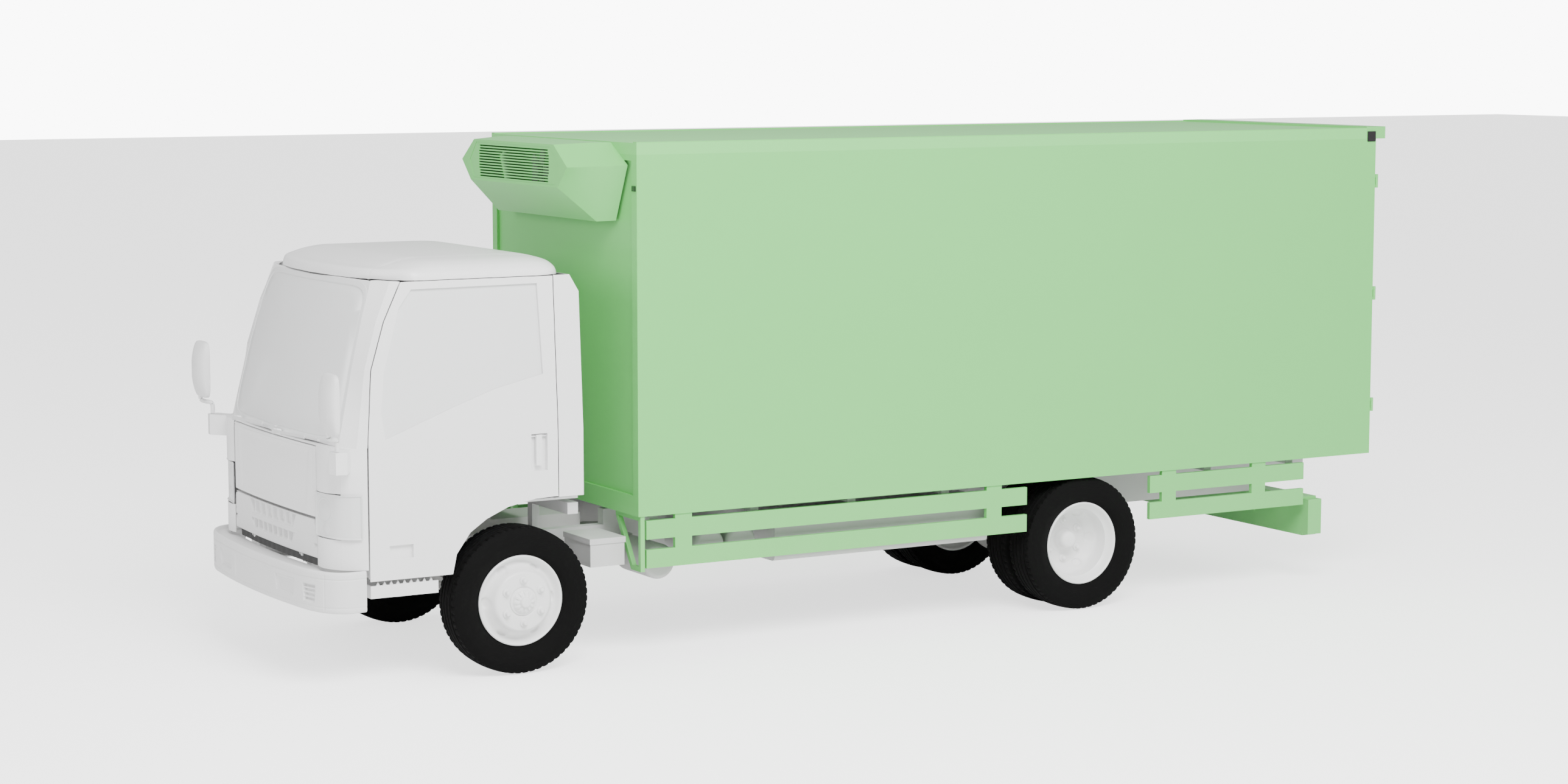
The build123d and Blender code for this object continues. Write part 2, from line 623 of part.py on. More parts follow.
def condenser_grille():
    """Louvred panel: twelve long slots."""
    panel = louvre_prism(SLIDE_GAP, UNIT_FRONT_X - 8, UNIT_FRONT_X - 2)
    for index in range(12):
        z = LOUVRE_MIDDLE_Z - 86 + index * 15
        half = 440 if abs(z - LOUVRE_MIDDLE_Z) < 50 else 430
        panel -= block(UNIT_FRONT_X - 20, UNIT_FRONT_X + 20, -half, half, z, z + 7)
    return panel


def condenser_fan():
    """Axial fan: a hub and five flat blades."""
    x0 = BODY_FRONT_X + 110 + SLIDE_GAP
    fan = rod(38, (x0, 0, FAN_Z), (x0 + 45, 0, FAN_Z))
    for index in range(5):
        blade = block(x0 + 8, x0 + 14, 30, FAN_RADIUS, -28, 28)
        fan += Pos(0, 0, FAN_Z) * Rot(72 * index, 0, 0) * blade
    return fan


# ---- guards and lamps -------------------------------------------------------------------
def guard_side():
    """Posts hung from the skirt and two rails between and beyond them, each a flat bar."""
    y0 = GUARD_Y - GUARD_THICKNESS
    solids = []
    for span, posts in ((FRONT_GUARD_X, FRONT_GUARD_POSTS), (REAR_GUARD_X, REAR_GUARD_POSTS)):
        edges = []
        for x in sorted(posts):
            edges += [x - GUARD_POST_WIDTH / 2, x + GUARD_POST_WIDTH / 2]
            solids.append(block(x - GUARD_POST_WIDTH / 2, x + GUARD_POST_WIDTH / 2, y0, GUARD_Y,
                                LOWER_RAIL_Z[0], BODY_BOTTOM))
        stations = [span[0], *edges, span[1]]
        for z0, z1 in (UPPER_RAIL_Z, LOWER_RAIL_Z):
            for index in range(0, len(stations), 2):
                solids.append(block(stations[index], stations[index + 1], y0, GUARD_Y, z0, z1))
    return solids


def guard_end_frame():
    """Open frame across the front end of the guard: post, top bar, foot and a diagonal."""
    x0 = BODY_FRONT_X - 40
    x1 = BODY_FRONT_X - 15
    y0 = GUARD_Y - GUARD_THICKNESS
    post = block(x0, x1, y0, GUARD_Y, 470, BODY_BOTTOM)
    top = block(x0, x1, 600, y0, BODY_BOTTOM - 25, BODY_BOTTOM)
    foot = block(x0, x1, 790, y0, 470, 495)
    diagonal = prism_x([(600, 740), (630, 740), (790, 495), (790, 470), (775, 470)], x0, x1)
    return [post, top, foot, diagonal]


def underrun_beam():
    """Rear beam with end caps, buffers and the plates that bolt it to the rails."""
    low, high = UNDERRUN_Z
    rear = UNDERRUN_X - UNDERRUN_DEPTH
    beam = block(rear, UNDERRUN_X, -835, 835, low, high)
    cap = block(rear, UNDERRUN_X, 835, GUARD_Y, low + 12, high - 12)
    buffer = block(rear - 14, rear, 780, 860, low + 50, high - 60)
    plate = block(UNDERRUN_X, RAIL_REAR_X, 300, 385, low + 90, RAIL_TOP)
    return [beam, *pair(cap, buffer, plate)]


def body_lamps():
    """Front and rear marker lamps on the body and the two rear lamp clusters."""
    front = block(BODY_FRONT_X, BODY_FRONT_X + 6, BODY_INNER + 12, BODY_INNER + 48,
                  BODY_TOP - 250, BODY_TOP - 222)
    side = block(BODY_REAR_X + 6, BODY_REAR_X + 66, BODY_HALF, BODY_HALF + 5, BODY_TOP - 76, BODY_TOP - 16)
    cluster = block(BODY_REAR_X - 28, BODY_REAR_X, 600, 820, BODY_BOTTOM + 10, BODY_BOTTOM + 85)
    return pair(front, side, cluster)


# ---- bumper, steps, cab mounts --------------------------------------------------------------
def bumper_shape(inset, z0, z1):
    """Plan outline: gently bowed front, rounded corners, straight short sides."""
    front = BUMPER_FRONT_X - inset
    half = BUMPER_HALF_WIDTH - inset
    corner_y = 0.72 * half
    corner_x = front - 38
    bow = ThreePointArc((corner_x, -corner_y, z0), (front, 0, z0), (corner_x, corner_y, z0))
    side_x = BUMPER_FRONT_X - 175
    middle = (0.5 * (corner_x + side_x) + 26, 0.5 * (corner_y + half) + 26, z0)
    left = ThreePointArc((corner_x, corner_y, z0), middle, (side_x, half, z0))
    right = ThreePointArc((corner_x, -corner_y, z0), (middle[0], -middle[1], z0), (side_x, -half, z0))
    back = Polyline((side_x, half, z0), (BUMPER_REAR_X, half, z0), (BUMPER_REAR_X, -half, z0),
                    (side_x, -half, z0))
    face = make_face(Wire([*bow.edges(), *left.edges(), *right.edges(), *back.edges()]))
    return extrude(face, amount=z1 - z0, dir=(0, 0, 1))


def front_bumper():
    """Bumper shell with its shelf, and the brackets that carry it from the rails."""
    low, high = BUMPER_Z
    top = high - 20
    wall = bumper_shape(0, low, high) - bumper_shape(BUMPER_WALL, low, high)
    wall -= block(BUMPER_REAR_X - 5, BUMPER_REAR_X + BUMPER_WALL + 1, -800, 800, low - 5, high + 5)
    shelf = bumper_shape(BUMPER_WALL, top - 4, top) - bumper_shape(BUMPER_SHELF_DEPTH, top - 4, top)
    shelf -= block(BUMPER_REAR_X - 5, TILT_X + 50, -790, 790, low, high)
    wall += shelf
    for y in (-BRACKET_HOLE_SPACING / 2, BRACKET_HOLE_SPACING / 2):
        wall -= rod(BRACKET_HOLE_RADIUS, (BUMPER_FRONT_X - 30, y, 500), (BUMPER_FRONT_X + 10, y, 500))
    bow_y = 0.72 * (BUMPER_HALF_WIDTH - BUMPER_WALL)
    bow_r = (bow_y * bow_y + 38 * 38) / 76
    bracket_y = RAIL_HALF_WIDTH - 3
    flat_x = BUMPER_FRONT_X - BUMPER_WALL - bow_r + math.sqrt(bow_r * bow_r - bracket_y * bracket_y) - SLIDE_GAP
    bracket = block(RAIL_FRONT_X + 10, flat_x, RAIL_HALF_WIDTH - 40, bracket_y, 512, 560)
    return [wall, *pair(bracket)]


def cab_step():
    """Step tray under the door with an upstand of grip teeth, on an arm from the rail."""
    tray = block(445, 812, 690, 852, 462, 526)
    tray -= block(455, 802, 700, 842, 470, 530)
    teeth = [(474, 526), (494, 526), (484, 544)]
    for index in range(9):
        shift = 36 * index
        tray += prism_y([(x + shift, z) for x, z in teeth], 844, 850)
        tray += prism_y([(x + shift, z) for x, z in teeth], 692, 698)
    return [tray, block(600, 660, RAIL_HALF_WIDTH, 690, 508, 524)]


def cab_mounts():
    """Front tilt brackets with their pins, and the rear cross bar with rubber pads."""
    inner = RAIL_HALF_WIDTH - RAIL_FLANGE
    base = block(RAIL_FRONT_X, RAIL_FRONT_X + 10, inner, RAIL_HALF_WIDTH, RAIL_BOTTOM, RAIL_TOP)
    bracket = base
    for y0 in (inner + 8, RAIL_HALF_WIDTH - 20):
        bracket += block(RAIL_FRONT_X + 5, TILT_X, y0, y0 + 12, TILT_Z - 50, TILT_Z + 8)
        bracket += rod(20, (TILT_X, y0, TILT_Z), (TILT_X, y0 + 12, TILT_Z))
    bracket += rod(TILT_PIN_RADIUS, (TILT_X, inner + 8, TILT_Z), (TILT_X, RAIL_HALF_WIDTH - 8, TILT_Z))
    bar = block(-360, -300, -820, 820, 800, 860)
    upright = block(-350, -310, inner + 5, RAIL_HALF_WIDTH - 5, RAIL_TOP, 800)
    pad = block(-355, -305, 600, 690, 860, DECK_Z)
    return [*pair(bracket, upright, pad), bar]


# ---- cab shell -------------------------------------------------------------------------------
PILLAR_STATIONS = (COWL_Z + COWL_WALL, 1610, 1850, CAB_TOP_Z - SLIDE_GAP)
SCREEN_X = (1003, 912, 842, 770)
SCREEN_HALF = (760, 735, 710, 680)
SCREEN_DROP = 60
SCREEN_DROP_AT = 720
DOOR_FRONT_X = (820, 790, 712, 614)
DOOR_HINGE_HEIGHTS = (765, 1110)


def section_slab(outer_inset, depth):
    """Side slab of the cab in section: upright to the belt, then leaning inward."""
    y_low = SIDE_Y - outer_inset
    y_top = CAB_TOP_Y - outer_inset
    return prism_x([(y_low, 500), (y_low, BELT_Z), (y_top, CAB_TOP_Z + 10),
                    (y_top - depth, CAB_TOP_Z + 10), (y_low - depth, BELT_Z), (y_low - depth, 500)],
                   -500, 1100)


def window_outline(margin):
    return [(728 - margin, 1262 + margin), (746 - margin, 1400), (722 - margin, 1600),
            (630 - margin, 1915), (560, 2006 - margin), (-135 + margin, 2010 - margin),
            (-152 + margin, 1545 + margin), (117, 1483 + margin), (344, 1405 + margin)]


def door_outline():
    front = list(zip(DOOR_FRONT_X, (BELT_Z, 1610, 1850, CAB_TOP_Z - 3)))
    arch = [(-224, 909), (-94, 904), (59, 874), (181, 821), (273, 758), (349, 653), (371, 552)]
    return [(820, 552), *front, (DOOR_REAR_X, CAB_TOP_Z - 3), *arch]


def door_ring_outline(margin):
    """Outline of the pressed inner frame, kept clear of the wheel arch."""
    m = margin
    return [(812 - m, 560 + m), (812 - m, 1240), (782 - m, 1600), (704 - m, 1842), (606 - m, 2040 - m),
            (-216 + m, 2040 - m), (-216 + m, 935 + m), (300, 935 + m), (470 + m, 800), (470 + m, 560 + m)]


def door_left():
    """Door pressing: outer skin, inner frame, window opening, handle cup."""
    skin = section_slab(0, SKIN) & prism_y(door_outline(), 700, 900)
    frame = section_slab(SKIN, DOOR_DEPTH - SKIN) & prism_y(door_ring_outline(0), 700, 900)
    pocket = prism_y([(770, 602), (770, 1200), (300, 1340), (-174, 1480), (-174, 977), (330, 977),
                      (512, 830), (512, 602)], 700, SIDE_Y - SKIN)
    frame -= pocket
    shell = skin + frame
    shell -= prism_y(window_outline(0), 700, 900)
    shell -= block(-165, -74, SIDE_Y - 20, SIDE_Y + 5, 1048, 1240)
    shell -= block(585, 714, SIDE_Y - 20, SIDE_Y + 5, 658, 726)
    cup = block(-172, -67, SIDE_Y - 34, SIDE_Y - SKIN, 1041, 1247) - block(-165, -74, SIDE_Y - 30, SIDE_Y, 1048, 1240)
    lamp_cup = block(579, 720, SIDE_Y - 26, SIDE_Y - SKIN, 652, 732)
    lamp_cup -= block(585, 714, SIDE_Y - 22, SIDE_Y, 658, 726)
    return shell + cup + lamp_cup


def door_glass():
    return section_slab(14, 5) & prism_y(window_outline(SLIDE_GAP), 700, 900)


HANDLE_PIVOT_Y = SIDE_Y - 16
HANDLE_PIVOT_Z = 1226


def door_handle():
    """Pull lever in the door's cup, hung on a cross pin at its top."""
    lever = block(-136, -104, SIDE_Y - 20, SIDE_Y - 4, 1075, 1234)
    pin = rod(4, (-165 + SLIDE_GAP, HANDLE_PIVOT_Y, HANDLE_PIVOT_Z), (-74 - SLIDE_GAP, HANDLE_PIVOT_Y, HANDLE_PIVOT_Z))
    return lever + pin


def cab_frame():
    """Back wall, side returns behind the doors, windscreen pillars and sills."""
    rear_outline = [(CAB_REAR_X, 904), (DOOR_REAR_X - DOOR_GAP_X, 904), (DOOR_REAR_X - DOOR_GAP_X, CAB_TOP_Z),
                    (CAB_REAR_X + 50, CAB_TOP_Z), (CAB_REAR_X, 1960)]
    side = section_slab(0, SKIN) & prism_y(rear_outline, 700, 900)
    inner_low = SIDE_Y - SKIN
    inner_top = CAB_TOP_Y - SKIN

    def inner_y(z):
        return inner_low - (inner_low - inner_top) * max(0, z - BELT_Z) / (CAB_TOP_Z + 10 - BELT_Z)
    wall_outline = [(-inner_low, 904), (inner_low, 904), (inner_low, BELT_Z), (inner_y(1960), 1960),
                    (-inner_y(1960), 1960), (-inner_low, BELT_Z)]
    wall = prism_x(wall_outline, CAB_REAR_X, CAB_REAR_X + SKIN)
    slope = prism_y([(CAB_REAR_X, 1960), (CAB_REAR_X + SKIN, 1960), (CAB_REAR_X + 50 + SKIN, CAB_TOP_Z),
                     (CAB_REAR_X + 50, CAB_TOP_Z)], -inner_y(CAB_TOP_Z), inner_y(CAB_TOP_Z))
    pillars = []
    for index, z in enumerate(PILLAR_STATIONS):
        gx = glass_edge_x(index) + 2
        gy = SCREEN_HALF[index] + 2
        dx = DOOR_FRONT_X[index] + 6
        dy = side_y(z)
        corner = (gx * 0.45 + dx * 0.55, dy - 0.16 * (dy - gy))
        pillars.append(make_face(Polyline((gx, gy, z), (corner[0], corner[1], z), (dx, dy, z),
                                          (dx, dy - 34, z), (gx - 34, gy - 4, z), close=True)))
    pillar = loft(pillars, ruled=True)
    sill = block(457, 812, 740, 812, 566, CAB_FLOOR_Z)
    post = block(760, 826, 740, 812, CAB_FLOOR_Z + CAB_FLOOR_WALL, COWL_Z)
    for z in DOOR_HINGE_HEIGHTS:
        post += block(785, 805, 810, SIDE_Y - DOOR_DEPTH - SLIDE_GAP, z - 20, z + 20)
    return [*pair(side, pillar, sill, post), wall, slope]


def side_y(z):
    """Outer face of the cab side at a height."""
    return SIDE_Y - (SIDE_Y - CAB_TOP_Y) * max(0, z - BELT_Z) / (CAB_TOP_Z + 10 - BELT_Z)


def screen_radius():
    return (SCREEN_DROP_AT ** 2 + SCREEN_DROP ** 2) / (2 * SCREEN_DROP)


def glass_edge_x(index):
    radius = screen_radius()
    return SCREEN_X[index] - radius + math.sqrt(radius ** 2 - SCREEN_HALF[index] ** 2)


def screen_section(index):
    """Bowed strip of glass at one height."""
    z = PILLAR_STATIONS[index]
    half = SCREEN_HALF[index]
    edge = glass_edge_x(index)
    outer = ThreePointArc((edge, -half, z), (SCREEN_X[index], 0, z), (edge, half, z))
    inner = ThreePointArc((edge - 6, -half, z), (SCREEN_X[index] - 6, 0, z), (edge - 6, half, z))
    ends = [Line(outer @ 0, inner @ 0), Line(outer @ 1, inner @ 1)]
    return make_face(Wire([*outer.edges(), *inner.edges(), *ends[0].edges(), *ends[1].edges()]))


def windscreen():
    return loft([screen_section(index) for index in range(4)], ruled=True)


def roof_section(z, inset):
    side = CAB_TOP_Y - inset
    rear = CAB_REAR_X + 50 + inset
    front = SCREEN_X[3] + 8 - inset
    half = [(rear, side - 60), (rear + 60, side), (DOOR_FRONT_X[3] - inset, side),
            (front - 60, side - 118), (front - 14, 0.45 * side)]
    return make_face(Polyline(*[(x, y, z) for x, y in half], *[(x, -y, z) for x, y in reversed(half)],
                              close=True))


def cab_roof():
    """Pressed roof: upright edge, shoulder and a nearly flat crown, hollow below."""
    def shape(inset, base):
        return loft([roof_section(base, inset), roof_section(2084, inset + 6),
                     roof_section(2128 - inset, inset + 50), roof_section(ROOF_TOP_Z - inset, inset + 150)],
                    ruled=True)
    return shape(0, CAB_TOP_Z) - shape(SKIN + 2, CAB_TOP_Z - 1)


def cab_floor():
    """Foot wells, centre hump, seat deck, risers, front bulkhead and tilt lugs."""
    low = CAB_FLOOR_Z
    pan = low + CAB_FLOOR_WALL
    deck = DECK_Z + 12
    hump = 335
    side = 806
    well = block(457, 820, hump, side, low, pan)
    toe_board = block(820, 958, hump, 740, low, pan)
    riser = block(445, 457, hump, side, low, DECK_Z)
    solids = pair(well, toe_board, riser, block(457, 600, hump - 12, hump, pan, DECK_Z))
    solids.append(block(600, 958, -hump, hump, low, pan))
    solids.append(block(600, 612, -hump, hump, pan, DECK_Z))
    solids.append(block(457, 612, -hump, hump, DECK_Z, deck))
    solids.append(block(CAB_REAR_X + SKIN, 457, -side, side, DECK_Z, deck))
    solids.append(block(BULKHEAD_FACE_X - 13, BULKHEAD_FACE_X, -740, 740, pan, COWL_Z))
    lug = block(TILT_X - 15, TILT_X + 15, RAIL_HALF_WIDTH - 43, RAIL_HALF_WIDTH - 22, TILT_Z - 18, low)
    lug -= rod(TILT_PIN_RADIUS + RUNNING_FIT, (TILT_X, RAIL_HALF_WIDTH - 75, TILT_Z),
               (TILT_X, RAIL_HALF_WIDTH + 25, TILT_Z))
    solids += pair(lug, block(CAB_REAR_X + SKIN, DOOR_REAR_X - DOOR_GAP_X, side, SIDE_Y - SKIN, 904, 916))
    return solids


# ---- cab front --------------------------------------------------------------------------------
def nose_x(y):
    """Front face of the cab's bowed nose at a distance from the middle."""
    radius = (LID_HALF_WIDTH ** 2 + NOSE_SAGITTA ** 2) / (2 * NOSE_SAGITTA)
    return NOSE_X - radius + math.sqrt(radius ** 2 - y ** 2)


def nose_arc(offset, half, z):
    """Bowed line across the cab's nose at a height."""
    edge = nose_x(half) - offset
    return ThreePointArc((edge, -half, z), (NOSE_X - offset, 0, z), (edge, half, z))


def nose_panel(offset, wall, half, z0, z1):
    outer = nose_arc(offset, half, z0)
    inner = nose_arc(offset + wall, half, z0)
    ends = [Line(outer @ 0, inner @ 0), Line(outer @ 1, inner @ 1)]
    face = make_face(Wire([*outer.edges(), *inner.edges(), *ends[0].edges(), *ends[1].edges()]))
    return extrude(face, amount=z1 - z0, dir=(0, 0, 1))


CORNER_SEAM_Y = LID_HALF_WIDTH + 6
CORNER_REAR_X = DOOR_FRONT_X[0] + 8


def corner_band(inset, z):
    """Rounded front corner of the cab between the lid and the door."""
    start = (992 - inset, CORNER_SEAM_Y, z)
    middle = (956 - inset * 0.8, 786 - inset * 0.6, z)
    end = (CORNER_REAR_X, SIDE_Y - inset, z)
    return ThreePointArc(start, middle, end)


def corner_panel(z0, z1, inset=0, wall=SKIN):
    outer = corner_band(inset, z0)
    inner = corner_band(inset + wall, z0)
    ends = [Line(outer @ 0, inner @ 0), Line(outer @ 1, inner @ 1)]
    face = make_face(Wire([*outer.edges(), *inner.edges(), *ends[0].edges(), *ends[1].edges()]))
    return extrude(face, amount=z1 - z0, dir=(0, 0, 1))


LAMP_Z = (764, 995)
LAMP_OUTER_Y = 800


def cowl():
    """Plate under the windscreen, bowed in front, with the two wiper seats standing on it."""
    front = nose_arc(3, CORNER_SEAM_Y, COWL_Z)
    left = corner_band(0, COWL_Z)
    right = mirrored(left)
    rear_x = 940
    rear = [(CORNER_REAR_X, 780, COWL_Z), (rear_x, 735, COWL_Z), (rear_x, -735, COWL_Z),
            (CORNER_REAR_X, -780, COWL_Z)]
    joins = [Line(front @ 1, left @ 0), Polyline(left @ 1, *rear, right @ 1), Line(right @ 0, front @ 0)]
    edges = [*front.edges(), *left.edges(), *right.edges()]
    for line in joins:
        edges += line.edges()
    plate = extrude(make_face(Wire(edges)), amount=COWL_WALL, dir=(0, 0, 1))
    for y in WIPER_Y:
        plate += rod(16, wiper_point(y, -8), wiper_point(y, 16))
    return plate


def mirror_bracket():
    """Bracket on the corner panel, cut to the panel's rounded face."""
    bracket = prism_z([(905, 838), (962, 790), (1030, 868), (1018, 930), (960, 935)], 1112, COWL_Z + 1)
    face_line = corner_band(0, 1100)
    inside = Polyline(face_line @ 1, (CORNER_REAR_X, 700, 1100), (960, CORNER_SEAM_Y, 1100), face_line @ 0)
    core = make_face(Wire([*face_line.edges(), *inside.edges()]))
    return bracket - extrude(core, amount=200, dir=(0, 0, 1))


def front_panels():
    """Corner panels, trims under the lamps, cowl plate and mirror brackets."""
    keep_front = block(700, 1100, 500, LAMP_OUTER_Y, 500, 1300)
    keep_side = block(700, 1100, LAMP_OUTER_Y + 0.6, 900, 500, 1300)
    upper = corner_panel(LAMP_Z[1] + 0.6, COWL_Z) & keep_front
    trim = corner_panel(CORNER_BOTTOM_Z, LAMP_Z[0] - 0.6) & keep_front
    strip = corner_panel(CORNER_BOTTOM_Z, COWL_Z) & keep_side
    return [*pair(upper, trim, strip, mirror_bracket()), cowl()]


def headlamps():
    """Lens set flush in the corner, with the lamp bowl between it and the bulkhead."""
    lens = corner_panel(*LAMP_Z) & block(700, 1100, 500, LAMP_OUTER_Y, 500, 1300)
    bowl = corner_panel(LAMP_Z[0] + 20, LAMP_Z[1] - 20, SKIN + SLIDE_GAP, 24)
    bowl &= block(BULKHEAD_FACE_X + SLIDE_GAP, 1100, 615, 780, 500, 1300)
    return pair(lens, bowl)


def front_lid():
    """Service lid across the nose: bowed skin with a stiffening edge top and bottom."""
    skin = nose_panel(0, SKIN, LID_HALF_WIDTH, LID_BOTTOM_Z, COWL_Z - 3)
    skin += nose_panel(SKIN, LID_EDGE, LID_HALF_WIDTH - 4, LID_BOTTOM_Z, LID_BOTTOM_Z + 3)
    skin += nose_panel(SKIN, LID_EDGE, LID_HALF_WIDTH - 4, COWL_Z - 6, COWL_Z - 3)
    return skin


def front_grille():
    """Grille panel with two trapezoid air intakes, each crossed by upright ribs."""
    top = LID_BOTTOM_Z - 4
    panel = nose_panel(0, SKIN, LID_HALF_WIDTH, GRILLE_BOTTOM_Z, top)
    panel += nose_panel(SKIN, 12, LID_HALF_WIDTH - 4, GRILLE_BOTTOM_Z, GRILLE_BOTTOM_Z + 4)
    panel += nose_panel(SKIN, LID_EDGE, 580, top - 4, top)
    panel += nose_panel(SKIN + LID_EDGE + SLIDE_GAP, 4, 580, top - 4, LID_BOTTOM_Z + 10)
    upper = prism_x([(-330, 832), (330, 832), (290, 772), (-290, 772)], 900, 1100)
    lower = prism_x([(-310, 736), (310, 736), (270, 690), (-270, 690)], 900, 1100)
    panel -= upper
    panel -= lower
    for index in range(7):
        y = -252 + 84 * index
        panel += nose_panel(1, 14, 700, 768, 836) & block(900, 1100, y - 5, y + 5, 700, 900)
    for index in range(8):
        y = -245 + 70 * index
        panel += nose_panel(1, 14, 700, 686, 740) & block(900, 1100, y - 6, y + 6, 600, 800)
    foot = block(BULKHEAD_FACE_X, 998, -290, 290, CAB_FLOOR_Z, CAB_FLOOR_Z + 4)
    foot += nose_panel(SKIN, 12, 290, CAB_FLOOR_Z, CAB_FLOOR_Z + 4)
    return panel + foot


# ---- wipers and mirrors -----------------------------------------------------------------------
WIPER_Y = (130, -500)
WIPER_PIVOT_Z = 1240
WIPER_NORMAL = Vector(0.972, 0, 0.235)
WIPER_ARM = 430
WIPER_BLADE = 480


def wiper_point(y, out):
    return (nose_x(y) + WIPER_NORMAL.X * out, y, WIPER_PIVOT_Z + WIPER_NORMAL.Z * out)


def wiper(y):
    """Arm on its spindle, parked along the foot of the screen, with its blade."""
    plane = Plane(origin=wiper_point(y, 16 + SLIDE_GAP), x_dir=(0, 1, 0), z_dir=WIPER_NORMAL)
    arm = extrude(plane * Circle(15), amount=18)
    arm += plane * (Pos(WIPER_ARM / 2, 8, 14) * Rot(0, 0, 2) * Box(WIPER_ARM, 16, 8))
    arm += plane * (Pos(WIPER_ARM - 70, 14, 8) * Rot(0, 0, 2) * Box(WIPER_BLADE, 8, 14))
    return arm


MIRROR_PIVOT = (1000, 902)


def mirror_unit():
    """Mirror head with a bowed back, carried on a bent arm that folds on the bracket."""
    x, y = MIRROR_PIVOT
    head = prism_z([(1026, 846), (1026, 1026), (1046, 1031), (1086, 990), (1094, 930), (1084, 872),
                    (1046, 838)], 1311, 1620)
    head &= prism_y([(1020, 1311), (1070, 1311), (1096, 1380), (1099, 1465), (1096, 1550), (1066, 1620),
                     (1020, 1620)], 800, 1100)
    post = rod(13, (x, y, 1222 + SLIDE_GAP), (x, y, 1290))
    arm = prism_z([(x - 12, y - 12), (x + 8, y + 14), (1062, 950), (1070, 926)], 1270, 1290)
    riser = rod(12, (1058, 934, 1275), (1058, 934, 1315))
    return head + post + arm + riser


# ---- cab interior ------------------------------------------------------------------------------
DRIVER_Y = 420
WHEEL_CENTRE = (560, DRIVER_Y, 1190)
COLUMN_AXIS = Vector(-0.42, 0, 0.9075)


def steering_point(distance):
    p = Vector(*WHEEL_CENTRE) + COLUMN_AXIS * distance
    return (p.X, p.Y, p.Z)


def steering_wheel():
    plane = Plane(origin=WHEEL_CENTRE, z_dir=COLUMN_AXIS, x_dir=(0, 1, 0))
    wheel = plane * Torus(205, 14)
    for angle in (0, 120, 240):
        wheel += plane * (Rot(0, 0, angle) * Pos(105, 0, 0) * Box(190, 26, 12))
    wheel += plane * Cylinder(48, 34)
    return wheel


def dashboard():
    """Moulded dash with an instrument hood, and the steering column below it."""
    rear_x = BULKHEAD_FACE_X - 13
    dash = prism_y([(rear_x, 1000), (rear_x, 1215), (800, 1205), (730, 1150), (740, 1050), (820, 1000)],
                   -735, 735)
    dash += prism_y([(800, 1200), (735, 1150), (735, 1230), (790, 1262), (830, 1206)], 270, 570)
    tube_top = steering_point(-17 - SLIDE_GAP)
    tube_low = steering_point(-640)
    floor_cut = block(500, 1100, 200, 600, 300, CAB_FLOOR_Z + CAB_FLOOR_WALL)
    column = rod(24, tube_top, tube_low) - floor_cut
    dash -= rod(24.5, tube_top, tube_low)
    return [dash, column]


def seats():
    """Driver's seat and double passenger bench: base, back and head rests."""
    solids = []
    deck = DECK_Z + 12
    for low, high, heads in ((170, 670, (420,)), (-680, 130, (-500, -60))):
        solids.append(block(-190, 330, low, high, deck, deck + 140))
        foot = deck + 140 + SLIDE_GAP
        top = deck + 820
        solids.append(prism_y([(-200, foot), (-330, top), (-215, top), (-90, foot)], low, high))
        for y in heads:
            solids.append(prism_y([(-330, top + SLIDE_GAP), (-350, top + 170), (-275, top + 170),
                                   (-245, top + SLIDE_GAP)], y - 120, y + 120))
    return solids


# ---- assembly ------------------------------------------------------------------------------------
def build():
    tyre_front, rim_front = front_wheel()
    tyres_rear, rims_rear = rear_wheels()
    add("front_tyre_left", tyre_front)
    add("front_tyre_right", mirrored(tyre_front))
    add("front_rim_left", *rim_front)
    add("front_rim_right", *[mirrored(s) for s in rim_front])
    add("rear_tyres_left", *tyres_rear)
    add("rear_tyres_right", *[mirrored(s) for s in tyres_rear])
    add("rear_rims_left", *rims_rear)
    add("rear_rims_right", *[mirrored(s) for s in rims_rear])
    add("steering_knuckle_left", knuckle())
    add("steering_knuckle_right", mirrored(knuckle()))
    add("tie_rod", tie_rod())
    add("front_axle_beam", front_axle_beam())
    add("rear_axle_housing", rear_axle_housing())
    add("propshaft", propshaft())
    add("chassis_frame", *chassis_frame())
    add("leaf_springs", *pair(*spring_set(0, 1100, FRONT_SPRING_SEAT_Z, 4, 76, 38, FRONT_SPRING_SEAT_Z - 75)),
        *pair(*spring_set(REAR_X, 1250, SPRING_SEAT_Z, 3, 24, 58, AXLE_Z - 50.5)))
    add("powertrain", *powertrain())
    add("air_tanks", *air_tanks())
    add("fuel_tank", fuel_tank())
    add("battery_box", battery_box())
    add("exhaust_silencer", silencer())
    add("cargo_floor", *cargo_floor())
    add("cargo_walls", *cargo_walls())
    add("cargo_roof", cargo_roof())
    add("body_edge_rails", *body_edge_rails())
    add("rear_door_frame", *rear_door_frame())
    add("cargo_door_left", cargo_door())
    add("cargo_door_right", mirrored(cargo_door()))
    add("lock_rod_left", lock_rod())
    add("lock_rod_right", mirrored(lock_rod()))
    add("condenser_case", *condenser_case())
    add("condenser_grille", condenser_grille())
    add("condenser_fan", condenser_fan())
    add("side_guards", *pair(*guard_side(), *guard_end_frame()))
    add("underrun_beam", *underrun_beam())
    add("body_lamps", *body_lamps())
    add("front_bumper", *front_bumper())
    add("cab_steps", *pair(*cab_step()))
    add("cab_mounts", *cab_mounts())
    add("cab_floor", *cab_floor())
    add("cab_frame", *cab_frame())
    add("cab_roof", cab_roof())
    add("windscreen", windscreen())
    add("front_panels", *front_panels())
    add("headlamps", *headlamps())
    add("front_lid", front_lid())
    add("front_grille", front_grille())
    add("dashboard", *dashboard())
    add("steering_wheel", steering_wheel())
    add("seats", *seats())
    add("door_left", door_left())
    add("door_right", mirrored(door_left()))
    add("door_glass_left", door_glass())
    add("door_glass_right", mirrored(door_glass()))
    add("door_handle_left", door_handle())
    add("door_handle_right", mirrored(door_handle()))
    add("mirror_left", mirror_unit())
    add("mirror_right", mirrored(mirror_unit()))
    add("wiper_left", wiper(WIPER_Y[0]))
    add("wiper_right", wiper(WIPER_Y[1]))


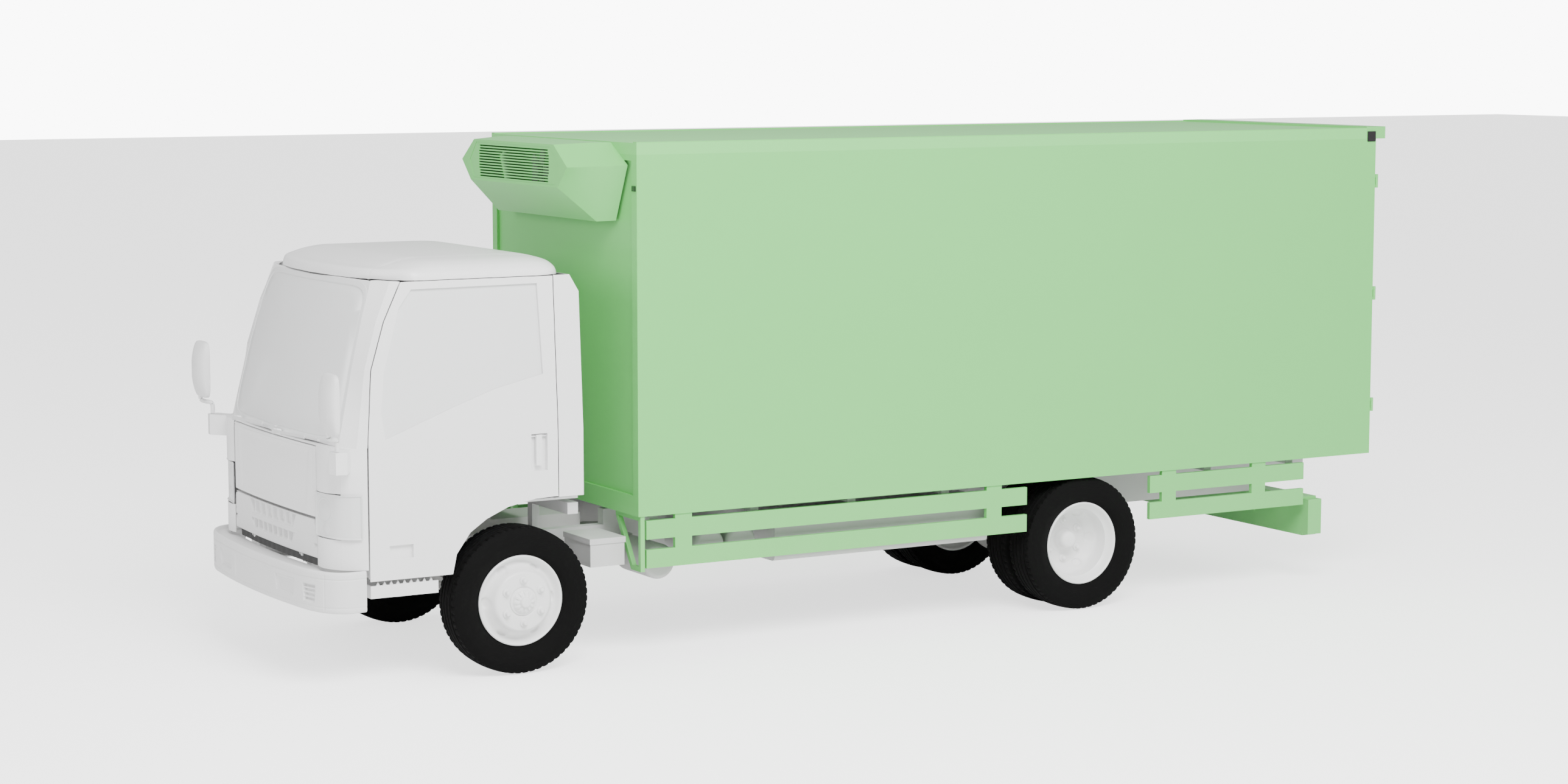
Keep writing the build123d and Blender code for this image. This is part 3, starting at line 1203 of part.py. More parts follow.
def write():
    os.makedirs("parts", exist_ok=True)
    for name, shapes in nodes.items():
        solids = []
        for shape in shapes:
            solids += (Pos(FRAME_SHIFT, 0, 0) * shape).solids()
        export_step(Compound(children=solids), f"parts/{name}.step")


build()
write()
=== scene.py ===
"""Light delivery truck with a refrigerated box: its looks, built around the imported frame."""
import json
import math

import bmesh
import bpy
import numpy as np
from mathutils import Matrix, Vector

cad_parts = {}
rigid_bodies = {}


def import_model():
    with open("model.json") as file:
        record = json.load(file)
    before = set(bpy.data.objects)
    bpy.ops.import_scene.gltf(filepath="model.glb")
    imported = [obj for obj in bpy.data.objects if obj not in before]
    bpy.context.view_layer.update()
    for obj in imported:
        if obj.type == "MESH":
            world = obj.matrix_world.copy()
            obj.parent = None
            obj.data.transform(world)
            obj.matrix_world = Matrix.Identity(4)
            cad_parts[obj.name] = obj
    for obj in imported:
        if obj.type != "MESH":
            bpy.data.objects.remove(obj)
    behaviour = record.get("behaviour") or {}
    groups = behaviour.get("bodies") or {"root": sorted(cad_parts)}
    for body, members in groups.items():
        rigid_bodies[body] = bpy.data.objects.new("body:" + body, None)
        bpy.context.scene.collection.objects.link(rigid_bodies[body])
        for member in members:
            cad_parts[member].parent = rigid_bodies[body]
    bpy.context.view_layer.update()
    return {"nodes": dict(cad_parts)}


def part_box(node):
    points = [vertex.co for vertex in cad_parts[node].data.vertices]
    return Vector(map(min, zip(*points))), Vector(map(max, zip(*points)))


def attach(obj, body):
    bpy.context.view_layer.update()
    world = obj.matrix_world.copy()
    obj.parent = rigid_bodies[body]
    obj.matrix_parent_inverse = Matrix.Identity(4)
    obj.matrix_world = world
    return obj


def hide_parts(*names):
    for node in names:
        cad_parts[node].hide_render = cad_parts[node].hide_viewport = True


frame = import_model()

# ---- where things are ------------------------------------------------------------------
# The truck stands on the ground with its axles across it.  Most pieces are placed from the
# front axle line, the wheel centres and the edges of the insulated box.
def middle(node):
    low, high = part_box(node)
    return (low + high) / 2


front_wheel = middle("front_tyre_left")
rear_wheel = middle("rear_tyres_left")
axle_x = front_wheel.x
axle_z = front_wheel.z
body_low, body_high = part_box("cargo_walls")


# ---- the viewpoint, the pale floor and the soft studio light -----------------------------
# A long lens looks down a little on the front left corner.  The floor is a wide pale sheet,
# and a broad overhead light with a bright surround gives soft grey shadows.
camera = bpy.data.objects.new("camera", bpy.data.cameras.new("camera"))
bpy.context.scene.collection.objects.link(camera)
bpy.context.scene.camera = camera
camera.data.sensor_width = 36.0
camera.data.lens = 70.27
camera.data.clip_end = 400.0
camera.location = (8.8685, 14.975, 3.275)
heading = math.radians(-120.02)
dip = math.radians(-6.67)
aim = Vector((math.cos(heading) * math.cos(dip), math.sin(heading) * math.cos(dip), math.sin(dip)))
camera.rotation_mode = "QUATERNION"
camera.rotation_quaternion = aim.to_track_quat("-Z", "Y")


def lamp(name, kind, energy, place, target, **settings):
    """A light at a place, turned towards its target."""
    light = bpy.data.lights.new(name, kind)
    light.energy = energy
    for key, value in settings.items():
        setattr(light, key, value)
    holder = bpy.data.objects.new(name, light)
    bpy.context.scene.collection.objects.link(holder)
    holder.location = place
    holder.rotation_mode = "QUATERNION"
    holder.rotation_quaternion = (Vector(target) - Vector(place)).to_track_quat("-Z", "Y")
    return holder


lamp("key_light", "AREA", 2300.0, (3.0, 9.0, 9.0), (0.0, 0.0, 1.0), shape="RECTANGLE", size=7.0, size_y=5.0)
lamp("fill_light", "AREA", 500.0, (-6.0, 9.0, 7.0), (-1.0, 0.0, 1.2), shape="RECTANGLE", size=8.0, size_y=5.0)
lamp("front_light", "AREA", 330.0, (11.0, -1.0, 5.0), (2.5, 0.0, 1.2), shape="RECTANGLE", size=5.0,
     size_y=4.0)

world = bpy.data.worlds.new("studio")
bpy.context.scene.world = world
world.use_nodes = True
world.node_tree.nodes["Background"].inputs["Color"].default_value = (1.0, 1.0, 1.0, 1.0)
world.node_tree.nodes["Background"].inputs["Strength"].default_value = 0.8
seen = world.node_tree.nodes.new("ShaderNodeBackground")
seen.inputs["Strength"].default_value = 12.0
ray = world.node_tree.nodes.new("ShaderNodeLightPath")
either = world.node_tree.nodes.new("ShaderNodeMixShader")
world.node_tree.links.new(ray.outputs["Is Camera Ray"], either.inputs["Fac"])
world.node_tree.links.new(world.node_tree.nodes["Background"].outputs["Background"], either.inputs[1])
world.node_tree.links.new(seen.outputs["Background"], either.inputs[2])
world.node_tree.links.new(either.outputs["Shader"], world.node_tree.nodes["World Output"].inputs["Surface"])


# ---- paint and plastic --------------------------------------------------------------------
# Every finish has slow mottling and a fine grain.  Sprayed enamel has a faint orange peel
# under a thin coat, moulded plastic a tighter grain, and road dust lies on the low parts.
def linear(*channels):
    """Display values from 0 to 255 as linear colour."""
    values = np.array(channels) / 255.0
    return tuple(np.where(values <= 0.04045, values / 12.92, ((values + 0.055) / 1.055) ** 2.4)) + (1.0,)


def new_group(name, inputs, outputs):
    """Empty shader group with its input and output sockets."""
    group = bpy.data.node_groups.new(name, "ShaderNodeTree")
    for label, kind, value in inputs:
        socket = group.interface.new_socket(label, in_out="INPUT", socket_type=kind)
        if value is not None:
            socket.default_value = value
    for label in outputs:
        group.interface.new_socket(label, in_out="OUTPUT", socket_type="NodeSocketFloat")
    return group, group.nodes.new("NodeGroupInput"), group.nodes.new("NodeGroupOutput")


def grain_group():
    """Slow mottling and fine grain: two noises on the coordinates that come in."""
    group, entry, leave = new_group("grain", [("Vector", "NodeSocketVector", None),
                                              ("Coarse", "NodeSocketFloat", 2.0),
                                              ("Fine", "NodeSocketFloat", 400.0)], ["Mottle", "Height"])
    for label, source, detail in (("Mottle", "Coarse", 4.0), ("Height", "Fine", 2.0)):
        noise = group.nodes.new("ShaderNodeTexNoise")
        noise.inputs["Detail"].default_value = detail
        group.links.new(entry.outputs["Vector"], noise.inputs["Vector"])
        group.links.new(entry.outputs[source], noise.inputs["Scale"])
        group.links.new(noise.outputs["Fac"], leave.inputs[label])
    return group


def dust_group():
    """Road dust: a mask that grows towards the ground, broken up by noise."""
    group, entry, leave = new_group("road_dust", [("Vector", "NodeSocketVector", None),
                                                  ("Top", "NodeSocketFloat", 0.9)], ["Dust"])
    split = group.nodes.new("ShaderNodeSeparateXYZ")
    noise = group.nodes.new("ShaderNodeTexNoise")
    noise.inputs["Scale"].default_value = 6.0
    noise.inputs["Detail"].default_value = 5.0
    ramp = group.nodes.new("ShaderNodeMapRange")
    ramp.inputs["To Min"].default_value = 1.0
    ramp.inputs["To Max"].default_value = 0.0
    times = group.nodes.new("ShaderNodeMath")
    times.operation = "MULTIPLY"
    group.links.new(entry.outputs["Vector"], split.inputs["Vector"])
    group.links.new(entry.outputs["Vector"], noise.inputs["Vector"])
    group.links.new(split.outputs["Z"], ramp.inputs["Value"])
    group.links.new(entry.outputs["Top"], ramp.inputs["From Max"])
    group.links.new(ramp.outputs["Result"], times.inputs[0])
    group.links.new(noise.outputs["Fac"], times.inputs[1])
    group.links.new(times.outputs["Value"], leave.inputs["Dust"])
    return group


grain = grain_group()
road_dust = dust_group()


def mixed(tree, factor, first, second):
    """Colour between two others; each is a colour or an output socket."""
    node = tree.nodes.new("ShaderNodeMix")
    node.data_type = "RGBA"
    tree.links.new(factor, node.inputs[0])
    for index, source in ((6, first), (7, second)):
        if isinstance(source, tuple):
            node.inputs[index].default_value = source
        else:
            tree.links.new(source, node.inputs[index])
    return node.outputs[2]


def finish(name, colour, roughness, coat=0.0, metallic=0.0, mottle=0.05, coarse=2.0, fine=350.0,
           bump=0.05, dust=0.25):
    """Opaque finish: mottled colour with dust low down, uneven gloss and a fine grain."""
    material = bpy.data.materials.new(name)
    material.use_nodes = True
    tree = material.node_tree
    shader = tree.nodes["Principled BSDF"]
    place = tree.nodes.new("ShaderNodeTexCoord")
    texture = tree.nodes.new("ShaderNodeGroup")
    texture.node_tree = grain
    texture.inputs["Coarse"].default_value = coarse
    texture.inputs["Fine"].default_value = fine
    tree.links.new(place.outputs["Object"], texture.inputs["Vector"])
    dark = tuple(value * (1.0 - mottle) for value in colour[:3]) + (1.0,)
    light = tuple(min(1.0, value * (1.0 + mottle)) for value in colour[:3]) + (1.0,)
    shade = mixed(tree, texture.outputs["Mottle"], dark, light)
    if dust > 0.0:
        low_dust = tree.nodes.new("ShaderNodeGroup")
        low_dust.node_tree = road_dust
        tree.links.new(place.outputs["Object"], low_dust.inputs["Vector"])
        amount = tree.nodes.new("ShaderNodeMath")
        amount.operation = "MULTIPLY"
        amount.inputs[1].default_value = dust
        tree.links.new(low_dust.outputs["Dust"], amount.inputs[0])
        shade = mixed(tree, amount.outputs["Value"], shade, linear(176, 170, 160))
    tree.links.new(shade, shader.inputs["Base Color"])
    gloss = tree.nodes.new("ShaderNodeMapRange")
    gloss.inputs["To Min"].default_value = roughness - 0.05
    gloss.inputs["To Max"].default_value = roughness + 0.05
    tree.links.new(texture.outputs["Mottle"], gloss.inputs["Value"])
    tree.links.new(gloss.outputs["Result"], shader.inputs["Roughness"])
    relief = tree.nodes.new("ShaderNodeBump")
    relief.inputs["Strength"].default_value = bump
    relief.inputs["Distance"].default_value = 0.001
    tree.links.new(texture.outputs["Height"], relief.inputs["Height"])
    tree.links.new(relief.outputs["Normal"], shader.inputs["Normal"])
    shader.inputs["Coat Weight"].default_value = coat
    shader.inputs["Coat Roughness"].default_value = 0.2
    shader.inputs["Metallic"].default_value = metallic
    return material


floor_paint = finish("floor_paint", linear(250, 250, 250), 0.9, mottle=0.01, dust=0.0)
floor_paint.node_tree.nodes["Principled BSDF"].inputs["Emission Color"].default_value = (1.0, 1.0, 1.0, 1.0)
only_seen = floor_paint.node_tree.nodes.new("ShaderNodeLightPath")
glow = floor_paint.node_tree.nodes.new("ShaderNodeMath")
glow.operation = "MULTIPLY"
glow.inputs[1].default_value = 1.6
floor_paint.node_tree.links.new(only_seen.outputs["Is Camera Ray"], glow.inputs[0])
floor_paint.node_tree.links.new(glow.outputs["Value"],
                                floor_paint.node_tree.nodes["Principled BSDF"].inputs["Emission Strength"])
bpy.ops.mesh.primitive_plane_add(size=160.0, location=(0.0, 0.0, -0.001))
floor = bpy.context.object
floor.name = "studio_floor"
floor.data.materials.append(floor_paint)


# ---- the insulated box ---------------------------------------------------------------------
# Flat sandwich panels with aluminium edge rails, all sprayed the same soft green; the roof
# takes that green a shade lighter, as painted light on the box's top.  The CAD panels are true, so they only get
# their paint.
body_green = finish("body_green", linear(104, 196, 102), 0.5, coat=0.25, mottle=0.012, fine=260.0, dust=0.12)
# The roof's green is the side green lightened: painted light where the light falls on the top of the box.
roof_green = finish("roof_green", linear(112, 204, 110), 0.5, coat=0.2, mottle=0.015, fine=260.0, dust=0.0)
unit_green = finish("unit_green", linear(108, 200, 106), 0.48, coat=0.2, mottle=0.012, fine=500.0, dust=0.0)
guard_green = finish("guard_green", linear(104, 194, 102), 0.5, coat=0.2, mottle=0.02, dust=0.2)
cab_white = finish("cab_white", linear(238, 238, 238), 0.42, coat=0.3, mottle=0.01, fine=300.0, dust=0.1)
trim_white = finish("trim_white", linear(216, 216, 216), 0.55, mottle=0.015, fine=900.0, bump=0.12, dust=0.15)
chassis_white = finish("chassis_white", linear(200, 200, 200), 0.6, mottle=0.04, fine=500.0, bump=0.12, dust=0.4)
cast_white = finish("cast_white", linear(190, 190, 189), 0.65, mottle=0.06, fine=220.0, bump=0.3, dust=0.4)
wheel_white = finish("wheel_white", linear(236, 236, 236), 0.45, coat=0.2, mottle=0.02, dust=0.2)
marker_black = finish("marker_black", linear(16, 16, 16), 0.25, coat=0.4, mottle=0.05, dust=0.0)
interior_grey = finish("interior_grey", linear(120, 122, 122), 0.6, mottle=0.05, fine=1200.0, bump=0.25,
                       dust=0.0)
grip_rubber = finish("grip_rubber", linear(44, 44, 44), 0.6, mottle=0.08, fine=1500.0, bump=0.3, dust=0.0)


def repaint(material, *nodes):
    """Give whole CAD nodes one finish."""
    for node in nodes:
        for holder in frame["nodes"][node].material_slots:
            holder.material = material


repaint(body_green, "cargo_walls", "body_edge_rails", "rear_door_frame", "cargo_door_left",
        "cargo_door_right", "lock_rod_left", "lock_rod_right")
# The roof takes the lighter green, painted light on the top of the box.
repaint(roof_green, "cargo_roof")
repaint(unit_green, "condenser_case", "condenser_grille")
repaint(chassis_white, "air_tanks", "fuel_tank", "battery_box")
repaint(trim_white, "wiper_left", "wiper_right")
repaint(guard_green, "side_guards", "underrun_beam")
repaint(chassis_white, "chassis_frame", "exhaust_silencer", "cargo_floor", "cab_mounts")
repaint(cast_white, "front_axle_beam", "rear_axle_housing", "leaf_springs", "powertrain", "tie_rod",
        "propshaft", "steering_knuckle_left", "steering_knuckle_right")
repaint(cab_white, "cab_floor", "cab_frame", "front_panels", "door_left", "door_right",
        "door_handle_left", "door_handle_right", "cab_steps")
repaint(interior_grey, "dashboard", "condenser_fan")
repaint(marker_black, "body_lamps")


# ---- tyres -----------------------------------------------------------------------------------
# Radial truck tyres in black rubber.  The tread is crowned, with four round grooves and
# lugs on its shoulders; the walls bulge and carry two fine ribs.
def grid_faces(rows, columns, wrap_rows=False, wrap_columns=False):
    """Quads between neighbouring points of a grid, joined up where it wraps round."""
    down, across = np.meshgrid(np.arange(rows - (not wrap_rows)), np.arange(columns - (not wrap_columns)),
                               indexing="ij")
    below = (down + 1) % rows
    right = (across + 1) % columns
    here, there = down * columns, below * columns
    return np.stack([here + across, here + right, there + right, there + across], axis=-1).reshape(-1, 4)


def surface(points, wrap_rows=False, wrap_columns=False):
    """Points and faces of a grid of points (rows, columns, 3)."""
    rows, columns = points.shape[:2]
    return points.reshape(-1, 3), grid_faces(rows, columns, wrap_rows, wrap_columns)


def joined(*shapes):
    """Several shapes as one: their points in a row, their faces counted on."""
    starts = np.cumsum([0] + [len(points) for points, _ in shapes[:-1]])
    points = np.concatenate([points for points, _ in shapes])
    return points, np.concatenate([faces + start for (_, faces), start in zip(shapes, starts)])


def mirrored(shape):
    """The same shape on the truck's other side, its faces turned so that they still face out."""
    points, faces = shape
    return points * np.array([1.0, -1.0, 1.0]), faces[:, ::-1]


def piece(name, shape, body, material, slot, replaces=(), closed=True, wall=0.0, crease=40.0):
    """One finished object.  A closed shape gets its faces turned outwards; an open skin gets a wall."""
    points, faces = shape
    mesh = bpy.data.meshes.new(name)
    mesh.from_pydata(points.tolist(), [], faces.tolist())
    work = bmesh.new()
    work.from_mesh(mesh)
    bmesh.ops.remove_doubles(work, verts=work.verts, dist=2e-5)
    bmesh.ops.dissolve_degenerate(work, edges=work.edges, dist=1e-6)
    if closed:
        bmesh.ops.recalc_face_normals(work, faces=work.faces)
    work.to_mesh(mesh)
    work.free()
    mesh.polygons.foreach_set("use_smooth", np.ones(len(mesh.polygons), dtype=bool))
    mesh.set_sharp_from_angle(angle=math.radians(crease))
    thing = bpy.data.objects.new(name, mesh)
    bpy.context.scene.collection.objects.link(thing)
    mesh.materials.append(material)
    if wall > 0.0:
        solid = thing.modifiers.new("wall", "SOLIDIFY")
        solid.thickness = wall
        solid.offset = -1.0
    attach(thing, body)
    if replaces:
        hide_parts(*replaces)
    return thing


def both_sides(name, shape, body, material, slot, replaces=(), **options):
    """A piece on the left and its mirror image on the right, each on its own side's body."""
    for side, form in (("left", shape), ("right", mirrored(shape))):
        nodes = [node.format(side) for node in replaces]
        piece(f"{name}_{side}", form, body.format(side), material, slot, nodes, **options)


def revolved(profile, centre, turns=120, ripple=None):
    """Profile of (radius, y) spun about the wheel's axis; ripple adds a height to the profile."""
    angle = np.arange(turns) * 2.0 * np.pi / turns
    radius, along = [part[:, None] + 0.0 * angle[None, :] for part in np.asarray(profile, dtype=float).T]
    if ripple is not None:
        radius, along = ripple(radius, along, angle[None, :])
    x, z = centre[0] + radius * np.cos(angle), centre[2] + radius * np.sin(angle)
    return surface(np.stack([x, centre[1] + along, z], -1), wrap_rows=True, wrap_columns=True)


tyre_radius = axle_z
tyre_half = 0.1055
bead_radius = 0.222
bead_half = 0.0797


def tyre_profile():
    """Section of the tyre: crowned tread, walls as half ellipses, a plain inner wall."""
    across = np.linspace(-0.86, 0.86, 41) * tyre_half
    tread = np.stack([tyre_radius - 0.005 * (across / across[-1]) ** 2, across], -1)
    swing = np.linspace(0.0, 1.0, 15)[1:]
    shoulder = tyre_radius - 0.005
    drop = shoulder - (shoulder - 0.241) * swing
    bulge = 0.0907 + (bead_half - 0.0907) * swing + 0.0215 * np.sin(np.pi * swing) ** 0.9
    wall = np.stack([drop, np.minimum(bulge, tyre_half)], -1)
    foot = np.array([[bead_radius, bead_half], [bead_radius, bead_half - 0.016], [0.30, bead_half + 0.006],
                     [0.355, 0.060], [0.365, 0.0]])
    half = np.concatenate([wall, foot])
    other = (half[:-1] * np.array([1.0, -1.0]))[::-1]
    return np.concatenate([tread, half, other])


def tyre_ripple(radius, along, angle):
    """Four round grooves 7 mm deep, shoulder lugs cut by shallow slots, ribs on the walls."""
    groove = np.zeros_like(radius)
    for line in (-0.052, -0.018, 0.018, 0.052):
        groove = np.maximum(groove, np.clip(1.6 - np.abs(along - line) / 0.003, 0.0, 1.0))
    on_tread = radius > tyre_radius - 0.008
    lug = (np.abs(along) > 0.066) & (np.cos(angle * 60.0) > 0.5)
    rib = 0.0015 * np.exp(-((radius - 0.34) / 0.004) ** 2) + 0.0015 * np.exp(-((radius - 0.262) / 0.004) ** 2)
    outer_wall = (np.abs(along) > 0.07) & (radius < tyre_radius - 0.01)
    along = along + np.sign(along) * np.where(outer_wall, rib, 0.0)
    return radius - np.where(on_tread, 0.007 * groove + 0.005 * lug, 0.0), along


tyre_rubber = finish("tyre_rubber", linear(6, 6, 6), 0.85, mottle=0.15, coarse=9.0, fine=700.0, bump=0.35,
                     dust=0.0)
tyre_rubber.node_tree.nodes["Principled BSDF"].inputs["Specular IOR Level"].default_value = 0.12
front_centre = (axle_x, front_wheel.y, axle_z)
dual = 0.1175
both_sides("front_tyre_tread", revolved(tyre_profile(), front_centre, 240, tyre_ripple), "front_wheel_{}",
           tyre_rubber, "tyre_black", ["front_tyre_{}"], crease=30.0)
rear_tyres = [revolved(tyre_profile(), (rear_wheel.x, rear_wheel.y + shift, axle_z), 240, tyre_ripple)
              for shift in (dual, -dual)]
both_sides("rear_tyre_treads", joined(*rear_tyres), "rear_wheels_{}", tyre_rubber, "tyre_black",
           ["rear_tyres_{}"], crease=30.0)


# ---- rims, hubs and wheel nuts ---------------------------------------------------------------
# Pressed steel rims with a rolled flange and a dished disc with hand holes, painted white.
# Six nuts on collared studs hold each disc to a cast hub, ribbed like a flower on the front.
def rim_profile(disc):
    """Closed section of the rim: the disc's outer face, the flange, and back along the inside."""
    flange = [(0.214, 0.062), (0.219, 0.076), (0.224, 0.0865), (0.230, 0.0895), (0.235, 0.086), (0.236, 0.080),
              (0.2215, 0.0795), (0.2215, 0.060), (0.2015, 0.045), (0.2015, -0.045), (0.2215, -0.060),
              (0.2215, -0.0795), (0.236, -0.080), (0.235, -0.086), (0.230, -0.0895), (0.224, -0.0865),
              (0.2135, -0.060), (0.1945, -0.043)]
    return np.array(disc + flange)


def smooth_profile(points, per_span=4):
    """Catmull-Rom curve through the points, evenly divided in each span."""
    points = np.asarray(points, dtype=float)
    ends = np.concatenate([points[:1], points, points[-1:]])
    t = (np.arange(per_span) / per_span)[None, :, None]
    a, b, c, d = [ends[k:len(ends) - 3 + k, None] for k in range(4)]
    square, cube = 2 * a - 5 * b + 4 * c - d, 3 * b - a - 3 * c + d
    curve = 0.5 * (2 * b + (c - a) * t + square * t ** 2 + cube * t ** 3)
    return np.concatenate([curve.reshape(-1, points.shape[1]), points[-1:]])


def hand_holes(middle_radius, count, depth):
    """Ripple that presses round hollows into the disc at equal angles."""
    def ripple(radius, along, angle):
        turn = (angle * count / (2 * np.pi) + 0.5) % 1.0 - 0.5
        width = turn * 2 * np.pi / count * middle_radius / 0.026
        reach = np.hypot(width, (radius - middle_radius) / 0.017)
        return radius, along - depth * np.clip((1.15 - reach) / 0.3, 0.0, 1.0)
    return ripple


stud_circle = 0.111


def wheel_nuts(centre, face, angle_shift=0.5):
    """Six collared nuts round the stud circle, each a small turned shape with a domed end."""
    profile = smooth_profile([(0.0001, 0.030), (0.008, 0.029), (0.011, 0.024), (0.0125, 0.012), (0.014, 0.010),
                              (0.020, 0.008), (0.022, 0.003), (0.022, -0.004), (0.0001, -0.004)], 2)
    angles = (np.arange(6) + angle_shift) * np.pi / 3
    studs = [(centre[0] + stud_circle * math.cos(a), centre[1] + face, centre[2] + stud_circle * math.sin(a))
             for a in angles]
    return [revolved(profile, stud, 18) for stud in studs]


def petals(radius, along, angle):
    """Twelve raised ribs round the hub's nose."""
    ring = np.exp(-((radius - 0.047) / 0.012) ** 2)
    return radius, along + 0.006 * ring * np.clip(2.0 * np.cos(angle * 12.0), -0.3, 1.0)


front_disc = smooth_profile([(0.070, 0.108), (0.080, 0.1185), (0.100, 0.1195), (0.140, 0.1185), (0.151, 0.1155),
                             (0.160, 0.107), (0.170, 0.090), (0.180, 0.070), (0.190, 0.054), (0.202, 0.047),
                             (0.209, 0.052)])
back_of_disc = [(0.1945, 0.036), (0.178, 0.050), (0.160, 0.080), (0.146, 0.104), (0.120, 0.109), (0.070, 0.104)]
front_rim = rim_profile(front_disc.tolist())
front_rim = np.concatenate([front_rim, back_of_disc])
front_hub = smooth_profile([(0.0001, 0.156), (0.018, 0.1555), (0.026, 0.152), (0.029, 0.146), (0.034, 0.141),
                            (0.046, 0.137), (0.058, 0.130), (0.063, 0.122), (0.072, 0.119), (0.074, 0.110)])
hub_back = [(0.074, 0.094), (0.135, 0.0935), (0.135, 0.093), (0.072, 0.092), (0.072, 0.045), (0.160, 0.043),
            (0.162, -0.022), (0.148, -0.022), (0.144, 0.030), (0.0705, 0.030), (0.070, -0.030), (0.033, -0.030),
            (0.0325, 0.105), (0.0001, 0.105)]
front_hub = np.concatenate([front_hub, hub_back])
front_metal = joined(revolved(front_rim, front_centre, 180, hand_holes(0.186, 6, 0.014)),
                     revolved(front_hub, front_centre, 144, petals), *wheel_nuts(front_centre, 0.1185))
both_sides("front_rim_and_hub", front_metal, "front_wheel_{}", wheel_white, "wheel_white", ["front_rim_{}"])

dish = smooth_profile([(0.070, -0.1075), (0.138, -0.1075), (0.150, -0.100), (0.164, -0.082), (0.178, -0.066),
                       (0.190, -0.050), (0.1945, -0.036)])
dish_flange = [(0.1945, -0.020), (0.1945, 0.043), (0.2135, 0.060), (0.219, 0.076), (0.224, 0.0865), (0.230, 0.0895),
               (0.235, 0.086), (0.236, 0.080), (0.2215, 0.0795), (0.2215, 0.060), (0.2015, 0.045),
               (0.2015, -0.045), (0.2215, -0.060), (0.2215, -0.0795), (0.236, -0.080), (0.235, -0.086),
               (0.230, -0.0895), (0.224, -0.0865), (0.2135, -0.062), (0.196, -0.054), (0.186, -0.066),
               (0.150, -0.1125), (0.138, -0.1170), (0.070, -0.1170)]
dish = np.concatenate([dish, dish_flange])
rear_hub = smooth_profile([(0.0001, 0.090), (0.030, 0.088), (0.044, 0.080), (0.051, 0.066), (0.054, 0.045),
                           (0.059, 0.034), (0.066, 0.016), (0.082, 0.011)])
rear_hub = np.concatenate([rear_hub, [(0.082, -0.012), (0.135, -0.012), (0.135, -0.024), (0.072, -0.026),
                                      (0.072, -0.070), (0.161, -0.071), (0.162, -0.172), (0.147, -0.172),
                                      (0.146, -0.084), (0.072, -0.085), (0.071, -0.100), (0.046, -0.100),
                                      (0.0455, 0.030), (0.0001, 0.030)]])
rear_centre = (rear_wheel.x, rear_wheel.y, axle_z)
outer_centre = (rear_wheel.x, rear_wheel.y + dual, axle_z)
inner_rim = dish * np.array([1.0, -1.0])
inner_centre = (rear_wheel.x, rear_wheel.y - dual, axle_z)
rear_metal = joined(revolved(dish, outer_centre, 180, hand_holes(0.168, 6, 0.012)),
                    revolved(inner_rim, inner_centre, 120), revolved(rear_hub, rear_centre, 96),
                    *wheel_nuts(rear_centre, 0.0102))
both_sides("rear_rims_and_hub", rear_metal, "rear_wheels_{}", wheel_white, "wheel_white", ["rear_rims_{}"])


# ---- cab roof --------------------------------------------------------------------------------
# One pressed steel roof panel, rolled over at the sides and chamfered at the front, with a
# raised middle and two long creases.  It is welded to the pillars and the back wall.
def front_x(value):
    """Distance ahead of the front axle line, given in millimetres, in the frame's metres."""
    return axle_x + np.asarray(value, dtype=float) / 1000.0


def smooth_step(value, low, high):
    t = np.clip((value - low) / (high - low), 0.0, 1.0)
    return t * t * (3.0 - 2.0 * t)


def side_y(z):
    """Half width of the cab: upright up to the belt line, leaning in above it."""
    return 0.870 - 0.050 * np.maximum(0.0, z - 1.250) / 0.808


def superellipse(angle, power):
    c, s = np.cos(angle), np.sin(angle)
    return np.sign(c) * np.abs(c) ** (2 / power), np.sign(s) * np.abs(s) ** (2 / power)


def point_ring(ring):
    """A ring shrunk to its own middle, which closes a shell once the doubled points are merged."""
    return np.broadcast_to(ring.mean(axis=0), (1,) + ring.shape)


def roof_shell():
    """Rings from the gutter up over the edge to the middle; creases press in by 2 to 3 mm."""
    levels = smooth_profile([(0.0, 2.0485), (0.004, 2.072), (0.016, 2.094), (0.045, 2.118), (0.100, 2.136),
                             (0.180, 2.1445), (0.300, 2.148), (0.400, 2.149), (0.490, 2.1495)], 5)
    angle = np.linspace(-np.pi, np.pi, 240, endpoint=False)
    unit_x, unit_y = superellipse(angle, 9.0)
    inset = levels[:, 0][:, None]
    rear = -0.316 + inset
    front = 0.776 - inset * 1.05
    x = (front + rear) / 2 + (front - rear) / 2 * unit_x
    side = 0.8185 - inset * 1.05
    taper = 1.0 - 0.30 * smooth_step(x, 0.55, 0.86)
    bow = 0.045 * smooth_step(np.abs(side * unit_y), 0.1, 0.8) * smooth_step(x, 0.30, 0.76)
    y = side * unit_y * taper
    z = levels[:, 1][:, None] + 0.0 * x
    z = z - 0.0035 * np.exp(-((np.abs(y) - 0.600) / 0.006) ** 2) * smooth_step(x, -0.28, -0.2)
    z = z + 0.003 * smooth_step(0.590 - np.abs(y), 0.0, 0.03) * smooth_step(z, 2.13, 2.145)
    z = z - 0.026 * smooth_step(x, 0.43, 0.70) * smooth_step(z, 2.09, 2.14)
    rings = np.stack([axle_x + x - bow, y, np.minimum(z, 2.1495)], -1)
    return surface(np.concatenate([rings, point_ring(rings[-1])]), wrap_columns=True)


piece("cab_roof_panel", roof_shell(), "cab", cab_white, "cab_white", ["cab_roof"], closed=False, wall=0.003)


# ---- windscreen and its surround -------------------------------------------------------------
# A curved laminated screen, blanked off white, with rounded corners.  The thin dark rubber
# in the channel between its edge and the pillars is not drawn; only its finish is made here.
def screen_point(u, z):
    """Point on the glass: u runs from -1 to 1 across, z is the height."""
    levels = np.array([1.227, 1.610, 1.850, 2.0477])
    centre = np.interp(z, levels, [1.003, 0.912, 0.842, 0.770])
    half = np.interp(z, levels, [0.760, 0.735, 0.710, 0.680])
    y = u * half
    radius = 4.350
    return np.stack([axle_x + centre - radius + np.sqrt(radius ** 2 - y ** 2), y, z + 0.0 * y], -1)


